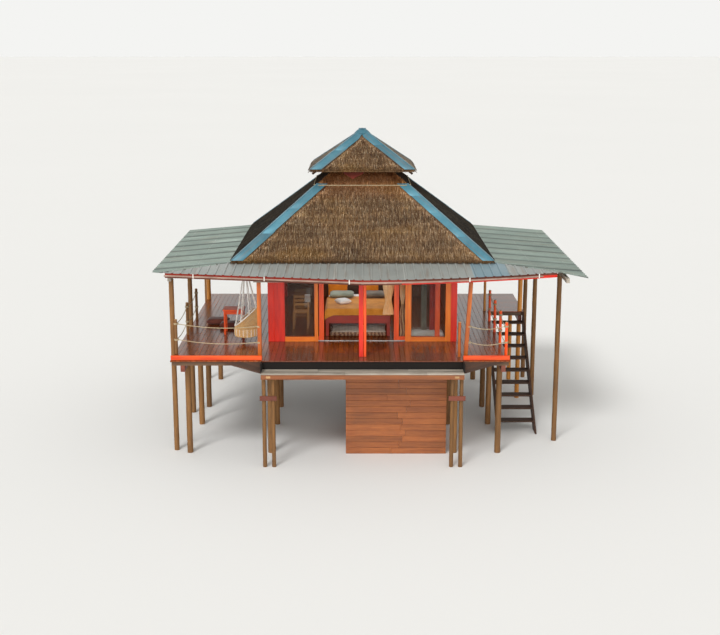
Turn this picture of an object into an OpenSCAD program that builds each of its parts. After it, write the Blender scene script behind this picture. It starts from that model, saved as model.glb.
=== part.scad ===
// Stilt house with a thatched pyramid roof, metal veranda roofs and a raised timber deck.
// Millimetres. X runs to the right seen from the front, Y to the back and Z up.
// The origin is on the ground under the middle of the thatched roof.

/* [Platform] */
// Height of the deck boards over the lowest ground under the legs
deck_level = 2500; // [2300:50:2900]
// Deck edge left of the roof's middle
deck_left = 4430; // [4380:10:4520]
// Deck edge right of the roof's middle
deck_right = 3400; // [3300:10:3500]
// Deck edge in front of the roof's middle
deck_front = 4510; // [4450:10:4600]
// Deck edge behind the roof's middle
deck_back = 3000; // [2950:10:3100]
// Thickness of the deck boards
board_t = 30; // [22:1:40]
// Depth of the floor joists
joist_h = 100; // [80:5:120]
// Width of the floor joists
joist_w = 50; // [40:5:70]
// Number of floor joists across the deck
joist_count = 11; // [9:1:13]
// Depth of the bearers that carry the joists
bearer_h = 150; // [120:10:180]
// Width of the bearers
bearer_w = 100; // [80:5:120]
// Spacing of the middle stilts from side to side
stilt_spacing = 2200; // [2150:10:2250]
// Distance of the second row of stilts in front of the roof's middle
second_row = 1500; // [1400:20:1600]
// Diameter of the stilts
stilt_d = 150; // [120:5:180]
// Height of the painted kerb boards along the front edge
kerb_h = 105; // [80:5:120]
// Thickness of the kerb boards
kerb_t = 50; // [35:5:60]

/* [Front ledge] */
// Half of the ledge's length
ledge_half = 2320; // [2250:10:2360]
// Depth of the ledge from front to back
ledge_w = 360; // [320:10:400]
// Drop from the deck boards to the ledge
ledge_drop = 200; // [180:5:230]
// Thickness of the ledge plank
ledge_t = 40; // [30:1:50]
// Height of the beam under the ledge
ledge_beam_h = 110; // [90:5:130]
// Depth of the triangular skirts where they meet the ledge
skirt_h = 290; // [250:5:320]
// Length of the triangular skirts
skirt_len = 920; // [850:10:980]
// Diameter of the paired poles under the ledge
pair_pole_d = 100; // [80:5:110]
// Drop from the deck to the boards tied across the paired poles
tie_drop = 880; // [800:20:950]
// Height of the boards tied across the paired poles
tie_h = 110; // [90:5:130]
// Gap between the middles of two paired poles
pair_gap = 210; // [180:10:230]

/* [Lower room] */
// Left side of the boarded room under the deck
lower_left = 400; // [350:10:500]
// Right side of the boarded room under the deck
lower_right = 2000; // [1900:10:2050]
// Thickness of its board walls
lower_wall_t = 40; // [30:5:50]
// Width of the doorway in its back wall
lower_door_w = 800; // [700:10:900]

/* [Room] */
// Half of the room's width over its walls
room_half_x = 2300; // [2280:5:2330]
// Half of the room's depth over its walls
room_half_y = 2700; // [2680:5:2720]
// Size of the square corner posts
corner_post = 150; // [130:5:160]
// Thickness of the side and back walls
wall_t = 60; // [50:5:80]
// Height of the front header's underside
head_h = 1930; // [1900:5:1950]
// Height of the front header
header_h = 150; // [130:5:170]
// Height of the ring beams
ring_h = 120; // [100:5:120]
// Width of the ring beams
ring_w = 100; // [80:5:120]
// Width of the windows in the side and back walls
side_window_w = 1800; // [1500:50:2000]
// Height of the windows in the side and back walls
side_window_h = 1000; // [900:50:1100]
// Sill height of the windows in the side and back walls
side_window_sill = 950; // [900:50:1000]

/* [Front windows and sliding doors] */
// Thickness of the fixed window frames
frame_t = 50; // [40:1:55]
// Thickness of the sliding door leaves
leaf_t = 40; // [35:1:45]
// How much wider a sliding leaf is than the window that it slides behind
leaf_lap = 50; // [20:5:65]
// Width of the stiles on the leaves
stile_w = 120; // [90:5:130]
// Height of the rails on the leaves and windows
rail_h = 95; // [80:5:110]
// Width of the fixed windows' stiles beside the doorway
window_stile = 90; // [80:5:120]
// Width of the front wall left of the doorway
left_bay = 1220; // [1200:10:1240]
// Width of the front wall right of the doorway
right_bay = 1260; // [1240:10:1280]
// Width of the left window's stile beside the corner post
left_corner_stile = 260; // [240:10:280]
// Width of the right window's stile beside the corner post
right_corner_stile = 130; // [110:10:150]
// How far the left leaf stands open into the doorway
left_leaf_shows = 140; // [120:5:150]
// How far the right leaf stands open into the doorway
right_leaf_shows = 270; // [250:5:280]
// Thickness of the glass
glass_t = 6; // [4:1:8]
// Running gap beside and over the sliding leaves
leaf_gap = 10; // [8:1:14]

/* [Thatched roof] */
// Reach of the thatch beyond the room's front and back walls
thatch_overhang = 420; // [380:10:450]
// Height of the thatch's upper edge at the eaves, over the ring beams' underside
thatch_lift = 10; // [0:5:30]
// Rise of the thatch for each metre inwards
thatch_rise = 806; // [780:2:830]
// Upright thickness of the thatch
thatch_t = 140; // [120:5:150]
// Half width of the open neck under the cap roof
neck_half = 600; // [560:10:640]
// Half width of the cap roof
cap_half = 1300; // [1250:10:1340]
// How far the cap roof's eaves hang below the upper edge of the lower thatch
cap_drop = 61; // [40:1:80]
// Rise of the cap roof for each metre inwards
cap_rise = 715; // [690:5:740]
// Upright thickness of the cap roof's thatch
cap_t = 120; // [100:5:130]
// Diameter of the roof poles under the thatch
roof_pole_d = 64; // [50:2:64]
// Width of each wing of the blue hip flashings
hip_w = 280; // [240:5:300]
// Thickness of the hip flashings
hip_t = 8; // [6:1:10]
// Half width of the roof where the lower flashings end
hip_end = 1130; // [1080:10:1200]

/* [Metal roofs] */
// Drop from the thatch's upper edge at the eaves to the metal sheets under it
metal_drop = 40; // [30:5:50]
// How far the metal sheets tuck under the thatch
metal_tuck = 220; // [170:10:240]
// Reach of the left eaves
wing_left = 4970; // [4900:10:5050]
// Reach of the right eaves
wing_right = 5195; // [5100:10:5250]
// Fall of the side roofs from the thatch to their eaves
wing_fall = 180; // [160:5:200]
// Front corner of the left roof
left_corner_y = 3360; // [3300:10:3420]
// Front corner of the right roof
right_corner_y = 4090; // [4000:10:4150]
// Fall of the front roof from the thatch to its eaves
front_fall = 100; // [90:5:110]
// Reach of the front eaves in the middle
front_reach = 4750; // [4700:10:4800]
// Left end of the front eaves
eave_left = 4660; // [4600:10:4700]
// Right end of the front eaves
eave_right = 4600; // [4550:10:4650]
// Set-back of the front eaves at their left end
bow_left = 880; // [800:10:900]
// Set-back of the front eaves at their right end
bow_right = 950; // [900:10:1000]
// Overall depth of the ribbed sheets
sheet_t = 20; // [16:1:22]
// Diameter of the poles under the sheets
rafter_d = 60; // [50:2:64]
// Height of the red fascia along the front eaves
fascia_h = 120; // [100:5:130]
// Thickness of the fascia
fascia_t = 30; // [25:1:40]
// Outer diameter of the half-round gutter
gutter_d = 65; // [55:1:70]

/* [Posts] */
// Distance of the front posts from the middle
front_post_y = 4110; // [4050:10:4150]
// Width of the front left post
front_post_w = 90; // [80:5:110]
// Width of the front middle post
mid_post_w = 175; // [150:5:190]
// Sideways reach of the front left and right posts
front_post_x = 2390; // [2380:10:2420]
// Outward lean of the front right post, in degrees
post_lean = 3; // [1:0.5:4]
// Diameter of the tall poles at the sides
pole_d = 130; // [110:5:140]
// Distance of the left poles from the middle
left_pole_x = 4500; // [4480:5:4540]
// Distance of the right poles from the middle
right_pole_x = 4750; // [4700:5:4800]
// Height of the beams along the side eaves
eave_beam_h = 110; // [90:5:120]
// Width of the beams along the side eaves
eave_beam_w = 80; // [70:5:100]

/* [Railing] */
// Height of the short railing posts
rail_post_h = 830; // [780:10:900]
// Diameter of the short railing posts
rail_post_d = 75; // [60:5:85]
// Diameter of the railing ropes
rope_d = 22; // [18:1:28]
// Height of the upper ropes at the posts
rope_upper = 720; // [690:10:740]
// Height of the lower ropes at the posts
rope_lower = 340; // [300:10:380]
// Sag of the ropes between two posts
rope_sag = 70; // [50:5:80]

/* [Side stair] */
// Outer edge of the landing beside the deck
landing_right = 4400; // [4300:10:4450]
// Front edge of the landing
landing_front = 650; // [600:10:700]
// Number of risers from the ground to the landing
riser_count = 10; // [9:1:12]
// Depth of a tread
tread_going = 300; // [270:5:320]
// Thickness of a tread
tread_t = 35; // [30:1:45]
// Thickness of the stair's side boards
stringer_t = 45; // [40:1:55]
// Depth of the stair's side boards
stringer_h = 240; // [220:5:260]

/* [Furniture] */
// Width of the bed
bed_w = 1620; // [1500:10:1700]
// Length of the bed's base
bed_len = 2000; // [1950:10:2050]
// Height of the bed's base
bed_h = 540; // [500:10:560]
// Thickness of the mattress
mattress_t = 160; // [140:10:180]
// Height of the headboard
headboard_h = 1000; // [950:10:1050]
// Width of the veranda table
table_w = 520; // [480:10:560]
// Height of the veranda table
table_h = 640; // [600:10:680]
// Width of the hanging chair
basket_d = 570; // [540:10:600]
// Height of the hanging chair's basket on its high side
basket_h = 760; // [720:10:780]
// Height of the hanging chair's basket on its low side
basket_low = 250; // [220:10:300]
// Wall of the basket
basket_wall = 22; // [18:1:26]
// Diameter of the hanging chair's ropes
chair_rope_d = 14; // [10:1:18]
// Clearance of the basket over the deck
basket_clear = 140; // [120:5:180]

/* [Hidden] */

pole_fn = 24;
joist_z = -board_t - joist_h;
bearer_z = joist_z - bearer_h;
edge_inset = 60;
left_column_inset = 280;
right_column_inset = 150;
front_row_inset = 825;
back_row_inset = 300;
stilt_columns = [-deck_left + left_column_inset, -stilt_spacing, 0, stilt_spacing,
    deck_right - right_column_inset];
stilt_rows = [-deck_front + front_row_inset, -second_row, 0, deck_back - back_row_inset];
bearer_front = deck_front - edge_inset;
lower_front = stilt_rows[0] - stilt_d / 2;
lower_back = stilt_rows[1] + stilt_d / 2;
header_t = frame_t + leaf_t + 2 * leaf_gap;
leaf_y = -room_half_y + frame_t + leaf_gap;
leaf_bottom = 20;
leaf_top_gap = 15;
leaf_h = head_h - leaf_bottom - leaf_top_gap;
ring_z = head_h + header_h;
thatch_eave_z = ring_z + thatch_lift;
metal_top_z = thatch_eave_z - metal_drop;
wing_eave_z = metal_top_z - wing_fall;
front_eave_z = metal_top_z - front_fall;
door_left = room_half_x - left_bay;
door_right = room_half_x - right_bay;
leaf_w = left_bay - corner_post + leaf_lap;
window_left_in = room_half_x - corner_post - left_corner_stile;
window_right_in = room_half_x - corner_post - right_corner_stile;
ring_half = room_half_y - ring_w / 2;
front_beam_h = 100;
landing_beam_x = landing_right - 100;
riser_h = deck_level / riser_count;
rail_line_left = deck_left - 60;
rail_line_right = deck_right - 60;

thatch_half = room_half_y + thatch_overhang;
metal_inner = thatch_half - metal_tuck;
wing_back = thatch_half;
function thatch_z(h) = thatch_eave_z + (thatch_half - h) * thatch_rise / 1000;
cap_eave_z = thatch_z(neck_half) - cap_drop;
cap_edge = 70;
function cap_z(h) = cap_eave_z + (cap_half - h) * cap_rise / 1000;
function eave_y(x) = x < 0 ? -front_reach + bow_left * (-x / eave_left)
    : -front_reach + bow_right * pow(x / eave_right, 1.7);
function side_fall(x) = x < 0 ? (metal_top_z - wing_eave_z) / (wing_left - metal_inner)
    : (metal_top_z - wing_eave_z) / (wing_right - metal_inner);
function side_metal_z(x) = metal_top_z - (abs(x) - metal_inner) * side_fall(x);
function front_metal_z(x, y) = metal_top_z
    - (metal_top_z - front_eave_z) * (-metal_inner - y) / (-metal_inner - eave_y(x));
// The fascia's back face behind the eaves, and the clearance of the front poles under the sheets
fascia_set = 60;
fascia_back = fascia_set + fascia_t;
front_pole_gap = 16;
pole_end_gap = 5;
function side_pole_z(x) = side_metal_z(x) - sheet_t - rafter_d / 2 - 4;
function tread_top(i) = -i * riser_h;
function tread_front(i) = landing_front - i * tread_going;

// Places its children over the deck boards
module on_deck() translate([0, 0, deck_level]) children();

// A round pole between two points
module pole(p, q, d) {
    v = q - p;
    translate(p) rotate([0, acos(v[2] / norm(v)), atan2(v[1], v[0])])
        cylinder(d = d, h = norm(v), $fn = pole_fn);
}

// A box between two corners
module box(low, high) translate(low) cube(high - low);

// A sheet between a row of inner points and a row of outer points, all on its top face
module roof_strip(inner, outer, t) {
    n = len(inner);
    top = concat(inner, outer);
    points = concat(top, [for (p = top) p - [0, 0, t]]);
    m = 2 * n;
    polyhedron(points = points, faces = concat(
        [for (i = [0:n - 2]) [i, i + 1, n + i]],
        [for (i = [0:n - 2]) [i + 1, n + i + 1, n + i]],
        [for (i = [0:n - 2]) [m + i, m + n + i, m + i + 1]],
        [for (i = [0:n - 2]) [m + i + 1, m + n + i, m + n + i + 1]],
        [for (i = [0:n - 2]) [i + 1, i, m + i]],
        [for (i = [0:n - 2]) [i + 1, m + i, m + i + 1]],
        [for (i = [0:n - 2]) [n + i, n + i + 1, m + n + i]],
        [for (i = [0:n - 2]) [n + i + 1, m + n + i + 1, m + n + i]],
        [[0, n, m + n], [0, m + n, m],
            [n - 1, m + n - 1, m + 2 * n - 1], [n - 1, m + 2 * n - 1, 2 * n - 1]]));
}

// One of the four slopes of a pyramid roof, mitred at its hips and cut flat under its eaves, where
// it is as thick as edge; h0 and h1 are half widths
module slope(h0, h1, z0, z1, t, edge) {
    knee = h0 - (t - edge) * (h0 - h1) / (z1 - z0);
    polyhedron(points = [
        [-h0, -h0, z0], [h0, -h0, z0], [h1, -h1, z1], [-h1, -h1, z1],
        [-h0, -h0, z0 - edge], [h0, -h0, z0 - edge], [knee, -knee, z0 - edge],
        [-knee, -knee, z0 - edge], [h1, -h1, z1 - t], [-h1, -h1, z1 - t]],
        faces = [[3, 2, 1, 0], [0, 1, 5, 4], [4, 5, 6, 7], [7, 6, 8, 9], [2, 3, 9, 8],
            [1, 2, 8, 6, 5], [3, 0, 4, 7, 9]]);
}

// The folded flashing over one hip, turned to the front left corner
module hip_flashing(h0, h1, z0, z1) {
    w = hip_w;
    lift = hip_t;
    polyhedron(points = [
        [-h0, -h0, z0 + lift], [-h0 + w, -h0, z0 + lift], [-h0, -h0 + w, z0 + lift],
        [-h1, -h1, z1 + lift], [-h1 + w, -h1, z1 + lift], [-h1, -h1 + w, z1 + lift],
        [-h0, -h0, z0], [-h0 + w, -h0, z0], [-h0, -h0 + w, z0],
        [-h1, -h1, z1], [-h1 + w, -h1, z1], [-h1, -h1 + w, z1]],
        faces = [[0, 3, 4, 1], [3, 0, 2, 5], [7, 10, 9, 6], [6, 9, 11, 8],
            [0, 1, 7, 6], [2, 0, 6, 8], [4, 3, 9, 10], [3, 5, 11, 9], [1, 4, 10, 7], [5, 2, 8, 11]]);
}

// A rope that sags between two points at the same height
module rope_span(p, q, sag, d) {
    span = norm(q - p);
    r = span * span / (8 * sag) + sag / 2;
    half_angle = asin(span / 2 / r);
    turn = atan2(q[1] - p[1], q[0] - p[0]);
    translate((p + q) / 2) rotate([0, 0, turn]) translate([0, 0, r - sag]) rotate([90, 0, 0])
        rotate([0, 0, -90 - half_angle]) rotate_extrude(angle = 2 * half_angle, $fn = 96)
            translate([r, 0]) circle(d = d, $fn = 16);
}

// A rectangular frame in the wall plane with its opening
module framed(x0, x1, z0, z1, in_x0, in_x1, in_z0, in_z1, t) {
    difference() {
        box([x0, 0, z0], [x1, t, z1]);
        box([in_x0, -1, in_z0], [in_x1, t + 1, in_z1]);
    }
}

// The middle of one of the paired poles under the ledge
function pair_x(side, step) = side * (ledge_half - pair_gap / 2 - pair_pole_d / 2) + step * pair_gap;
pair_y = -deck_front - ledge_w / 2;

module stilts() color("#8a6a45") {
    for (x = stilt_columns, y = stilt_rows) pole([x, y, 0], [x, y, deck_level + bearer_z], stilt_d);
    for (side = [-1, 1], step = [-0.5, 0.5])
        pole([pair_x(side, step), pair_y, 0],
            [pair_x(side, step), pair_y, deck_level - ledge_drop - ledge_t - ledge_beam_h], pair_pole_d);
}

tie_end = 90;
module stilt_ties() color("#8a4630") for (side = [-1, 1])
    translate([pair_x(side, -0.5) - tie_end, pair_y - pair_pole_d / 2 - board_t, deck_level - tie_drop])
        cube([pair_gap + 2 * tie_end, board_t, tie_h]);

module bearers() color("#7a4a2c") on_deck() {
    for (x = stilt_columns)
        box([x - bearer_w / 2, -bearer_front, bearer_z], [x + bearer_w / 2, deck_back - 20, joist_z]);
    box([landing_beam_x - bearer_w / 2, landing_front + 20, bearer_z],
        [landing_beam_x + bearer_w / 2, deck_back - 20, joist_z]);
}

module joists() color("#8a5030") on_deck() for (i = [0:joist_count - 1]) {
    y = -bearer_front + i * (bearer_front + deck_back - 20 - joist_w) / (joist_count - 1);
    reach = y > landing_front + 20 ? landing_right : deck_right;
    box([-deck_left + 40, y, joist_z], [reach - 30, y + joist_w, -board_t]);
}

module deck_floor() color("#a8541f") on_deck()
    box([-deck_left, -deck_front, -board_t], [deck_right, deck_back, 0]);
left_pole_rows = [-3500, -500, deck_back - 200];
right_pole_rows = [-2800, 1100, deck_back - 60];

module landing_floor() color("#a8541f") on_deck()
    box([deck_right, landing_front, -board_t], [landing_right, deck_back, 0]);

module kerb_boards() color("#e0561c") on_deck() {
    box([-deck_left + 10, -bearer_front, 0], [-ledge_half, -bearer_front + kerb_t, kerb_h]);
    box([ledge_half, -bearer_front, 0], [deck_right - 10, -bearer_front + kerb_t, kerb_h]);
}

module ledge_plank() color("#b9b2a6") on_deck()
    box([-ledge_half, -deck_front - ledge_w, -ledge_drop - ledge_t],
        [ledge_half, -deck_front, -ledge_drop]);

// The beam under the plank and the dark riser board behind it
module ledge_frame() color("#a2673a") on_deck() {
    z = -ledge_drop - ledge_t;
    box([-ledge_half, -deck_front - ledge_w + 10, z - ledge_beam_h], [ledge_half, -deck_front, z]);
    box([-ledge_half, -deck_front, z - ledge_beam_h], [ledge_half, -bearer_front, -board_t]);
}

module skirt(side) on_deck() translate([side * ledge_half, -deck_front + board_t, -board_t])
    rotate([90, 0, 0]) linear_extrude(height = board_t)
        polygon([[0, 0], [side * skirt_len, 0], [side * skirt_len, -20], [0, -skirt_h]]);
module skirts() color("#7d6448") {
    skirt(-1);
    skirt(1);
}

module lower_front_wall() color("#b5622c")
    box([-lower_left, lower_front - lower_wall_t, 0], [lower_right, lower_front, deck_level + bearer_z]);

module lower_side_walls() color("#b5622c") {
    box([-lower_left, lower_front, 0], [-lower_left + lower_wall_t, lower_back, deck_level + bearer_z]);
    box([lower_right - lower_wall_t, lower_front, 0], [lower_right, lower_back, deck_level + bearer_z]);
}

module lower_back_wall() color("#b5622c") {
    door_edge = (lower_right - lower_left) / 2 - lower_door_w / 2 + 250;
    box([-lower_left, lower_back, 0], [door_edge, lower_back + lower_wall_t, deck_level + bearer_z]);
    box([door_edge + lower_door_w, lower_back, 0],
        [lower_right, lower_back + lower_wall_t, deck_level + bearer_z]);
}

front_beam_top = front_metal_z(-front_post_x, -front_post_y) - sheet_t - rafter_d - front_pole_gap - 2;
front_post_top = front_beam_top - front_beam_h;
lean_shift = front_post_top * tan(post_lean);

module front_posts() color("#d9601f") on_deck() {
    box([-front_post_x - front_post_w / 2, -front_post_y - front_post_w / 2, 0],
        [-front_post_x + front_post_w / 2, -front_post_y + front_post_w / 2, front_post_top]);
    box([-mid_post_w / 2, -front_post_y - front_post_w / 2, 0],
        [mid_post_w / 2, -front_post_y + front_post_w / 2, front_post_top]);
    translate([front_post_x, -front_post_y, 0]) difference() {
        translate([0, 0, -100]) rotate([0, post_lean, 0])
            translate([-front_post_w / 2 + 5, -front_post_w / 2, 0])
                cube([front_post_w, front_post_w, front_post_top + 400]);
        box([-500, -500, -500], [500, 500, 0]);
        box([-500, -500, front_post_top], [500, 500, front_post_top + 600]);
    }
}

function eave_beam_top(x) = side_pole_z(x) - rafter_d / 2 - 4;
module side_poles() color("#8f7448") {
    for (y = left_pole_rows)
        pole([-left_pole_x, y, 0],
            [-left_pole_x, y, deck_level + eave_beam_top(-left_pole_x) - eave_beam_h], pole_d);
    for (y = right_pole_rows)
        pole([right_pole_x, y, 0],
            [right_pole_x, y, deck_level + eave_beam_top(right_pole_x) - eave_beam_h], pole_d);
}

// Tall posts on the deck that reach the roof poles, and the landing's two legs
function tall_post_top(x) = side_pole_z(x) - rafter_d / 2 - 10;
module tall_post(x, y, d) pole([x, y, 0], [x, y, tall_post_top(x)], d);
module veranda_posts() color("#e08a2c") {
    on_deck() {
        tall_post(rail_line_right, stair_pole_y, rail_post_d);
        tall_post(landing_beam_x, stair_pole_y, pole_d);
        tall_post(-rail_line_left, back_pole_y, pole_d);
    }
    for (y = [landing_front + 200, deck_back - 300])
        pole([landing_beam_x, y, 0], [landing_beam_x, y, deck_level + bearer_z], pole_d);
}
stair_pole_y = landing_front + 100;
back_pole_y = 2250;
side_rafter_rows = [-room_half_y + 40, -1200, stair_pole_y, back_pole_y, wing_back - 120];

module corner_posts() color("#d8401c") on_deck() for (sx = [-1, 1], sy = [-1, 1])
    translate([sx * (room_half_x - corner_post / 2), sy * (room_half_y - corner_post / 2), ring_z / 2])
        cube([corner_post, corner_post, ring_z], center = true);

module front_header() color("#e0601e") on_deck()
    box([-room_half_x + corner_post, -room_half_y, head_h],
        [room_half_x - corner_post, -room_half_y + header_t, ring_z]);

right_window_stile = stile_w + 30;
module front_windows() color("#e2641e") on_deck() translate([0, -room_half_y, 0]) {
    framed(-room_half_x + corner_post, -door_left, 0, head_h,
        -window_left_in, -door_left - window_stile, rail_h + 20, head_h - rail_h, frame_t);
    framed(door_right, room_half_x - corner_post, 0, head_h,
        door_right + right_window_stile, window_right_in, rail_h + 20, head_h - rail_h, frame_t);
}

module front_pane(x0, x1)
    box([x0, -room_half_y + frame_t / 2 - glass_t / 2, rail_h + 20],
        [x1, -room_half_y + frame_t / 2 + glass_t / 2, head_h - rail_h]);
module side_pane() box([-side_window_w / 2, wall_t / 2 - glass_t / 2, side_window_sill],
    [side_window_w / 2, wall_t / 2 + glass_t / 2, side_window_sill + side_window_h]);
module window_glass() color("#9fb7b4", 0.5) on_deck() {
    front_pane(-window_left_in, -door_left - window_stile);
    front_pane(door_right + right_window_stile, window_right_in);
    translate([-room_half_x, 0, 0]) rotate([0, 0, -90]) side_pane();
    translate([room_half_x, 0, 0]) rotate([0, 0, 90]) side_pane();
    translate([0, room_half_y - wall_t, 0]) side_pane();
}

module door_tracks() color("#6a5a4c") on_deck() {
    track_y = leaf_y + leaf_t / 2;
    box([-room_half_x + corner_post, track_y - 6, 0],
        [room_half_x - corner_post, track_y + 6, leaf_bottom - 8]);
}

// A sliding leaf whose leading edge is at x = 0 and whose body lies towards negative X
module leaf() translate([0, leaf_y, leaf_bottom])
    framed(-leaf_w, 0, 0, leaf_h, -leaf_w + stile_w, -stile_w, rail_h, leaf_h - rail_h, leaf_t);
module leaf_glass() translate([0, leaf_y + leaf_t / 2 - glass_t / 2, leaf_bottom])
    box([-leaf_w + stile_w, 0, rail_h], [-stile_w, glass_t, leaf_h - rail_h]);

left_leaf_edge = -door_left + left_leaf_shows;
right_leaf_edge = door_right - right_leaf_shows + leaf_w;
module left_door_frame() color("#e04c1c") on_deck() translate([left_leaf_edge, 0, 0]) leaf();
module left_door_glass() color("#9fb7b4", 0.5) on_deck() translate([left_leaf_edge, 0, 0]) leaf_glass();
module right_door_frame() color("#e04c1c") on_deck() translate([right_leaf_edge, 0, 0]) leaf();
module right_door_glass() color("#9fb7b4", 0.5) on_deck() translate([right_leaf_edge, 0, 0]) leaf_glass();

// A wall with one window, as wide as w, drawn along X
module window_wall(w) difference() {
    box([-w / 2, 0, 0], [w / 2, wall_t, ring_z]);
    box([-side_window_w / 2, -1, side_window_sill],
        [side_window_w / 2, wall_t + 1, side_window_sill + side_window_h]);
}

side_wall_len = 2 * (room_half_y - corner_post);
back_wall_len = 2 * (room_half_x - corner_post);
module left_wall() color("#c4702e") on_deck()
    translate([-room_half_x, 0, 0]) rotate([0, 0, -90]) window_wall(side_wall_len);
module right_wall() color("#c4702e") on_deck()
    translate([room_half_x, 0, 0]) rotate([0, 0, 90]) window_wall(side_wall_len);
module back_wall() color("#c4702e") on_deck()
    translate([0, room_half_y - wall_t, 0]) window_wall(back_wall_len);

ring_end = ring_half + ring_w;
joint_gap = 2;
module ring_beams() color("#b8471f") on_deck() for (side = [-1, 1]) {
    box([-ring_end, side * ring_half - ring_w / 2, ring_z],
        [ring_end, side * ring_half + ring_w / 2, ring_z + ring_h]);
    box([side * ring_half - ring_w / 2, -ring_half + ring_w / 2 + joint_gap, ring_z],
        [side * ring_half + ring_w / 2, ring_half - ring_w / 2 - joint_gap, ring_z + ring_h]);
}

module side_eave_beam(x, front) box(
    [x - eave_beam_w / 2, front, eave_beam_top(x) - eave_beam_h],
    [x + eave_beam_w / 2, side_rafter_rows[4] + 60, eave_beam_top(x)]);

module eave_beams() color("#b8521f") on_deck() {
    side_eave_beam(-left_pole_x, eave_y(-left_pole_x) + fascia_back + 40);
    side_eave_beam(right_pole_x, -right_corner_y + 140);
    box([-front_post_x - 120, -front_post_y - 40, front_post_top],
        [front_post_x + lean_shift + 120, -front_post_y + 40, front_beam_top]);
}

thatch_pole_drop = thatch_t + roof_pole_d / 2 / cos(atan(thatch_rise / 1000)) + 1;
// Poles up the middle and the quarters of each slope, and one along each hip
module thatch_poles() color("#a07a48") on_deck() for (turn = [0:90:270]) rotate([0, 0, turn]) {
    quarter = thatch_half / 2 - 60;
    foot = metal_inner - 40;
    for (x = [-quarter, 0, quarter]) {
        top = abs(x) < 1 ? neck_half + 20 : abs(x) + 140;
        pole([x, -foot, thatch_z(foot) - thatch_pole_drop],
            [x, -top, thatch_z(top) - thatch_pole_drop], roof_pole_d);
    }
    pole([-foot + 20, -foot + 20, thatch_z(foot - 20) - thatch_pole_drop],
        [-neck_half - 40, -neck_half - 40, thatch_z(neck_half + 40) - thatch_pole_drop], roof_pole_d);
}

frame_half = neck_half - 30;
frame_bar = 70;
frame_z = thatch_z(frame_half) - thatch_t - roof_pole_d - 60 - frame_bar;
cap_pole_d = 60;
cap_pole_drop = cap_t + cap_pole_d / 2 / cos(atan(cap_rise / 1000)) + 1;
post_in = frame_half - frame_bar / 2;
module neck_frame() color("#a07a48") on_deck() {
    for (side = [-1, 1]) {
        box([-frame_half, side * post_in - frame_bar / 2, frame_z],
            [frame_half, side * post_in + frame_bar / 2, frame_z + frame_bar]);
        box([side * post_in - frame_bar / 2, -frame_half + frame_bar + joint_gap, frame_z],
            [side * post_in + frame_bar / 2, frame_half - frame_bar - joint_gap, frame_z + frame_bar]);
    }
}

// Four posts on the neck frame and the four hip poles of the cap roof
module cap_poles() color("#a07a48") on_deck() for (sx = [-1, 1], sy = [-1, 1]) {
    translate([sx * post_in, sy * post_in, frame_z + frame_bar])
        cylinder(d = frame_bar - 6, h = cap_z(post_in) - cap_pole_drop - cap_pole_d - frame_z - frame_bar,
            $fn = pole_fn);
    pole([sx * (cap_half - 60), sy * (cap_half - 60), cap_z(cap_half - 60) - cap_pole_drop],
        [sx * cap_pole_d, sy * cap_pole_d, cap_z(cap_pole_d) - cap_pole_drop], cap_pole_d);
}

module metal_roof_poles() color("#9a6a3a") on_deck() {
    for (y = side_rafter_rows) {
        start = y > room_half_y ? metal_inner - 200 : room_half_x + pole_end_gap;
        pole([-start, y, side_pole_z(-start)], [-wing_left + 50, y, side_pole_z(-wing_left + 50)], rafter_d);
        pole([start, y, side_pole_z(start)], [wing_right - 50, y, side_pole_z(wing_right - 50)], rafter_d);
    }
    for (x = [-2200, -1200, 0, 1200, 2200]) {
        back = -room_half_y - pole_end_gap;
        front = eave_y(x) + fascia_back + 40;
        drop = sheet_t + rafter_d / 2 + front_pole_gap;
        pole([x, back, front_metal_z(x, back) - drop], [x, front, front_metal_z(x, front) - drop], rafter_d);
    }
}

eave_stations = [for (i = [0:10]) -eave_left + i * (eave_left + eave_right) / 10];
module front_fascia() color("#c8301c") on_deck() translate([0, 0, front_eave_z - sheet_t - fascia_h - 4])
    linear_extrude(height = fascia_h) polygon(concat(
        [for (x = eave_stations) [x * 0.985, eave_y(x) + fascia_set]],
        [for (i = [10:-1:0]) [eave_stations[i] * 0.985, eave_y(eave_stations[i]) + fascia_back]]));

module front_metal_roof() color("#8fa3a8") on_deck() roof_strip(
    [for (x = eave_stations)
        [x * metal_inner / (x < 0 ? eave_left : eave_right), -metal_inner, metal_top_z]],
    [for (x = eave_stations) [x, eave_y(x), front_eave_z]], sheet_t);

module left_metal_roof() color("#a3b3a8") on_deck() roof_strip(
    [[-metal_inner, wing_back, metal_top_z], [-metal_inner, -metal_inner + 500, metal_top_z],
        [-metal_inner, -metal_inner, metal_top_z]],
    [[-wing_left, wing_back, wing_eave_z], [-wing_left, -left_corner_y, wing_eave_z],
        [-eave_left, eave_y(-eave_left), front_eave_z]], sheet_t);

module right_metal_roof() color("#a3b3a8") on_deck() roof_strip(
    [[metal_inner, -metal_inner, metal_top_z], [metal_inner, -metal_inner + 500, metal_top_z],
        [metal_inner, wing_back, metal_top_z]],
    [[eave_right, eave_y(eave_right), front_eave_z], [wing_right, -right_corner_y, wing_eave_z],
        [wing_right, wing_back, wing_eave_z]], sheet_t);

module thatch_slope(turn) on_deck() rotate([0, 0, turn])
    slope(thatch_half, neck_half, thatch_eave_z, thatch_z(neck_half), thatch_t, metal_drop - 6);
module thatch_front() color("#7b6446") thatch_slope(0);
module thatch_right() color("#6d583e") thatch_slope(90);
module thatch_back() color("#7b6446") thatch_slope(180);
module thatch_left() color("#6d583e") thatch_slope(270);

module cap_thatch() color("#7b6446") on_deck() for (turn = [0:90:270]) rotate([0, 0, turn])
    translate([0, -1, 0]) slope(cap_half, 1, cap_eave_z, cap_z(1), cap_t, cap_edge);

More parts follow.
